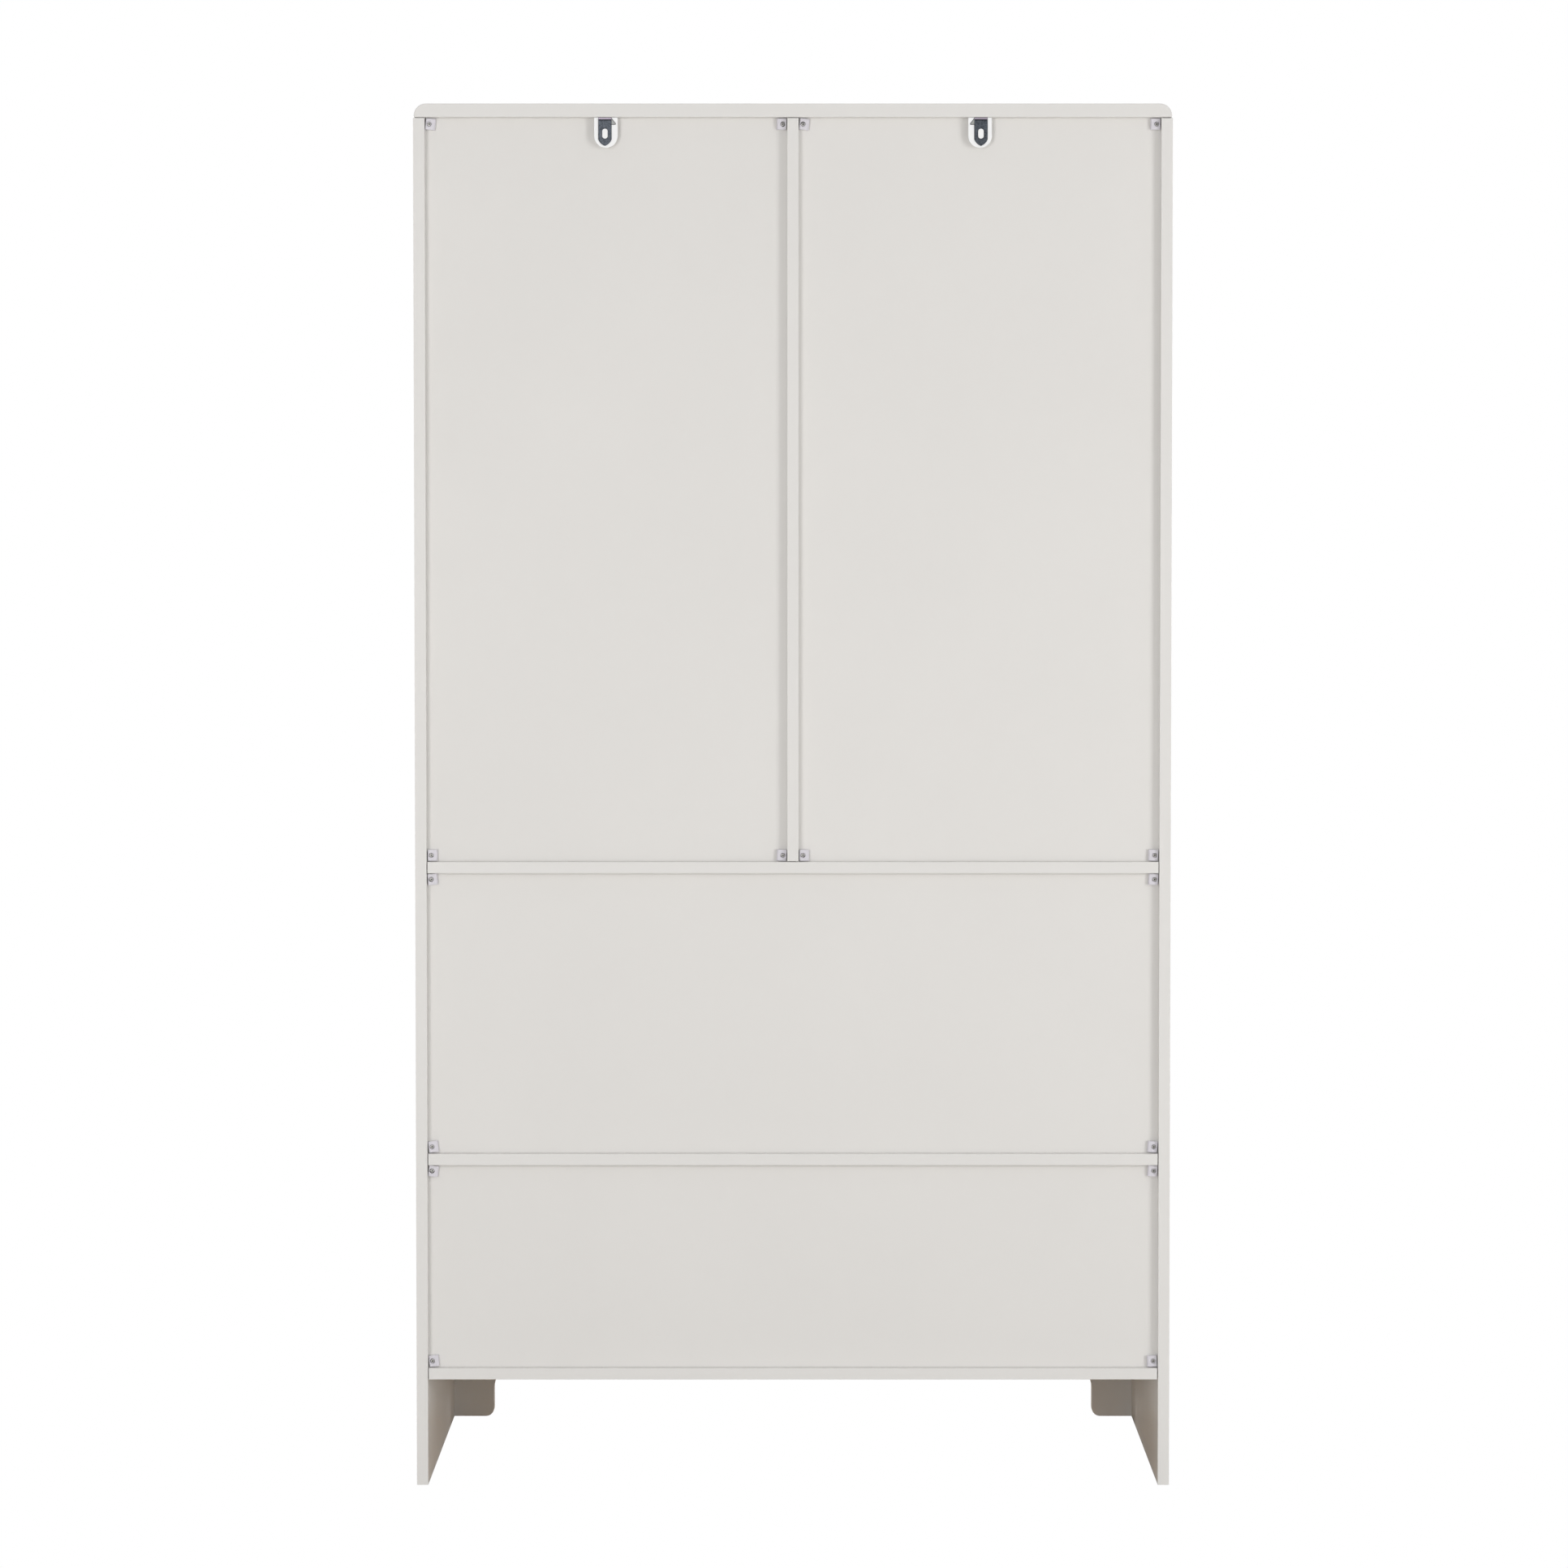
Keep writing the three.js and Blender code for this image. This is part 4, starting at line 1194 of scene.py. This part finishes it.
class ARMOIRE_OT_stage(ArmoireOperator, bpy.types.Operator):
    """Sets up the floor, the lights and the camera"""

    bl_idname = "armoire.stage"
    bl_label = "Stage"

    def make(self, values):
        stage = values.stage
        make_floor("floor", FLOOR_SIZE, FLOOR_DROP, FLOOR_BOUNCE)
        make_floor("warm_floor", WARM_SIZE, WARM_DROP, WARM_BOUNCE)
        make_surround(stage.surround)
        for name, power, place in LIGHTS:
            soft_light(name, getattr(stage, power), place)
        make_camera(stage)
        bpy.context.scene.view_settings.view_transform = "Standard"


def make_floor(name, size, drop, bounce):
    """A level sheet that looks plain white, and throws light back up in the bounce colour."""
    bpy.ops.object.select_all(action="DESELECT")
    bpy.ops.mesh.primitive_plane_add(size=1, location=(0, 0, -drop))
    bpy.context.object.scale = (*size, 1)
    floor = named(name)
    material = bpy.data.materials.new(name)
    material.use_nodes = True
    tree = material.node_tree
    shader = tree.nodes["Principled BSDF"]
    shader.inputs["Base Color"].default_value = opaque(bounce)
    shader.inputs["Roughness"].default_value = 0.9
    seen = tree.nodes.new("ShaderNodeEmission")
    seen.inputs["Color"].default_value = WHITE
    mix = tree.nodes.new("ShaderNodeMixShader")
    path = tree.nodes.new("ShaderNodeLightPath")
    tree.links.new(path.outputs["Is Camera Ray"], mix.inputs[0])
    tree.links.new(shader.outputs[0], mix.inputs[1])
    tree.links.new(seen.outputs[0], mix.inputs[2])
    tree.links.new(mix.outputs[0], tree.nodes["Material Output"].inputs["Surface"])
    floor.data.materials.append(material)


def make_surround(strength):
    """Even white light, which is plain white where the camera sees it."""
    world = bpy.data.worlds.new("Surround")
    bpy.context.scene.world = world
    world.use_nodes = True
    tree = world.node_tree
    tree.nodes.clear()
    output = tree.nodes.new("ShaderNodeOutputWorld")
    mix = tree.nodes.new("ShaderNodeMixShader")
    path = tree.nodes.new("ShaderNodeLightPath")
    tree.links.new(path.outputs["Is Camera Ray"], mix.inputs[0])
    for socket, level in ((mix.inputs[1], strength), (mix.inputs[2], 1.0)):
        light = tree.nodes.new("ShaderNodeBackground")
        light.inputs["Color"].default_value = WHITE
        light.inputs["Strength"].default_value = level
        tree.links.new(light.outputs[0], socket)
    tree.links.new(mix.outputs[0], output.inputs["Surface"])


def soft_light(name, power, place):
    """A long soft light that faces the middle of the armoire."""
    bpy.ops.object.select_all(action="DESELECT")
    bpy.ops.object.light_add(type="AREA", location=place)
    light = bpy.context.object
    light.name = f"{name}_light"
    light.data.energy = power
    light.data.shape = "RECTANGLE"
    light.data.size = LIGHT_WIDTH
    light.data.size_y = LIGHT_LENGTH
    low, high = CAD_BOX
    aim = (Vector(low) + Vector(high)) / 2 - Vector(place)
    light.rotation_euler = aim.to_track_quat("-Z", "Y").to_euler()


def make_camera(stage):
    """Sets the camera behind the armoire, looking along -Y and a little down."""
    rear = CAD_BOX[1][1]
    bpy.ops.object.select_all(action="DESELECT")
    bpy.ops.object.camera_add(
        location=(0, rear + stage.camera_distance, stage.camera_height),
        rotation=(math.pi / 2 - stage.camera_tilt, 0, math.pi),
    )
    camera = bpy.context.object
    camera.data.lens = stage.lens
    camera.data.sensor_width = SENSOR_WIDTH
    camera.data.shift_x = stage.shift_x
    camera.data.shift_y = stage.shift_y
    bpy.context.scene.camera = camera


# ------------------------------------------------ panel and registration


class ARMOIRE_PT_panel(bpy.types.Panel):
    """Lists the settings and the operators"""

    bl_label = "Armoire"
    bl_idname = "ARMOIRE_PT_panel"
    bl_space_type = "VIEW_3D"
    bl_region_type = "UI"
    bl_category = "Armoire"

    def draw(self, context):
        for group in (settings().board, settings().fitting, settings().stage):
            box = self.layout.box()
            for label in group.__annotations__:
                box.prop(group, label)
        for operator in OPERATORS:
            self.layout.operator(operator.bl_idname)


OPERATORS = (
    ARMOIRE_OT_boards,
    ARMOIRE_OT_clips,
    ARMOIRE_OT_wall_brackets,
    ARMOIRE_OT_handles,
    ARMOIRE_OT_hanging_rail,
    ARMOIRE_OT_hinges,
    ARMOIRE_OT_runners,
    ARMOIRE_OT_bumpers,
    ARMOIRE_OT_catches,
    ARMOIRE_OT_shelf_pins,
    ARMOIRE_OT_stage,
)
GROUPS = (BoardSettings, FittingSettings, StageSettings, ArmoireSettings)


def register():
    for item in (*GROUPS, *OPERATORS, ARMOIRE_PT_panel):
        bpy.utils.register_class(item)
    bpy.types.Scene.armoire = PointerProperty(type=ArmoireSettings)


def unregister():
    del bpy.types.Scene.armoire
    for item in reversed((*GROUPS, *OPERATORS, ARMOIRE_PT_panel)):
        bpy.utils.unregister_class(item)


def main():
    register()
    make_materials()
    bpy.ops.armoire.boards()
    bpy.ops.armoire.clips()
    bpy.ops.armoire.wall_brackets()
    bpy.ops.armoire.handles()
    bpy.ops.armoire.hanging_rail()
    bpy.ops.armoire.hinges()
    bpy.ops.armoire.runners()
    bpy.ops.armoire.bumpers()
    bpy.ops.armoire.catches()
    bpy.ops.armoire.shelf_pins()
    bpy.ops.armoire.stage()


if __name__ == "__main__":
    main()
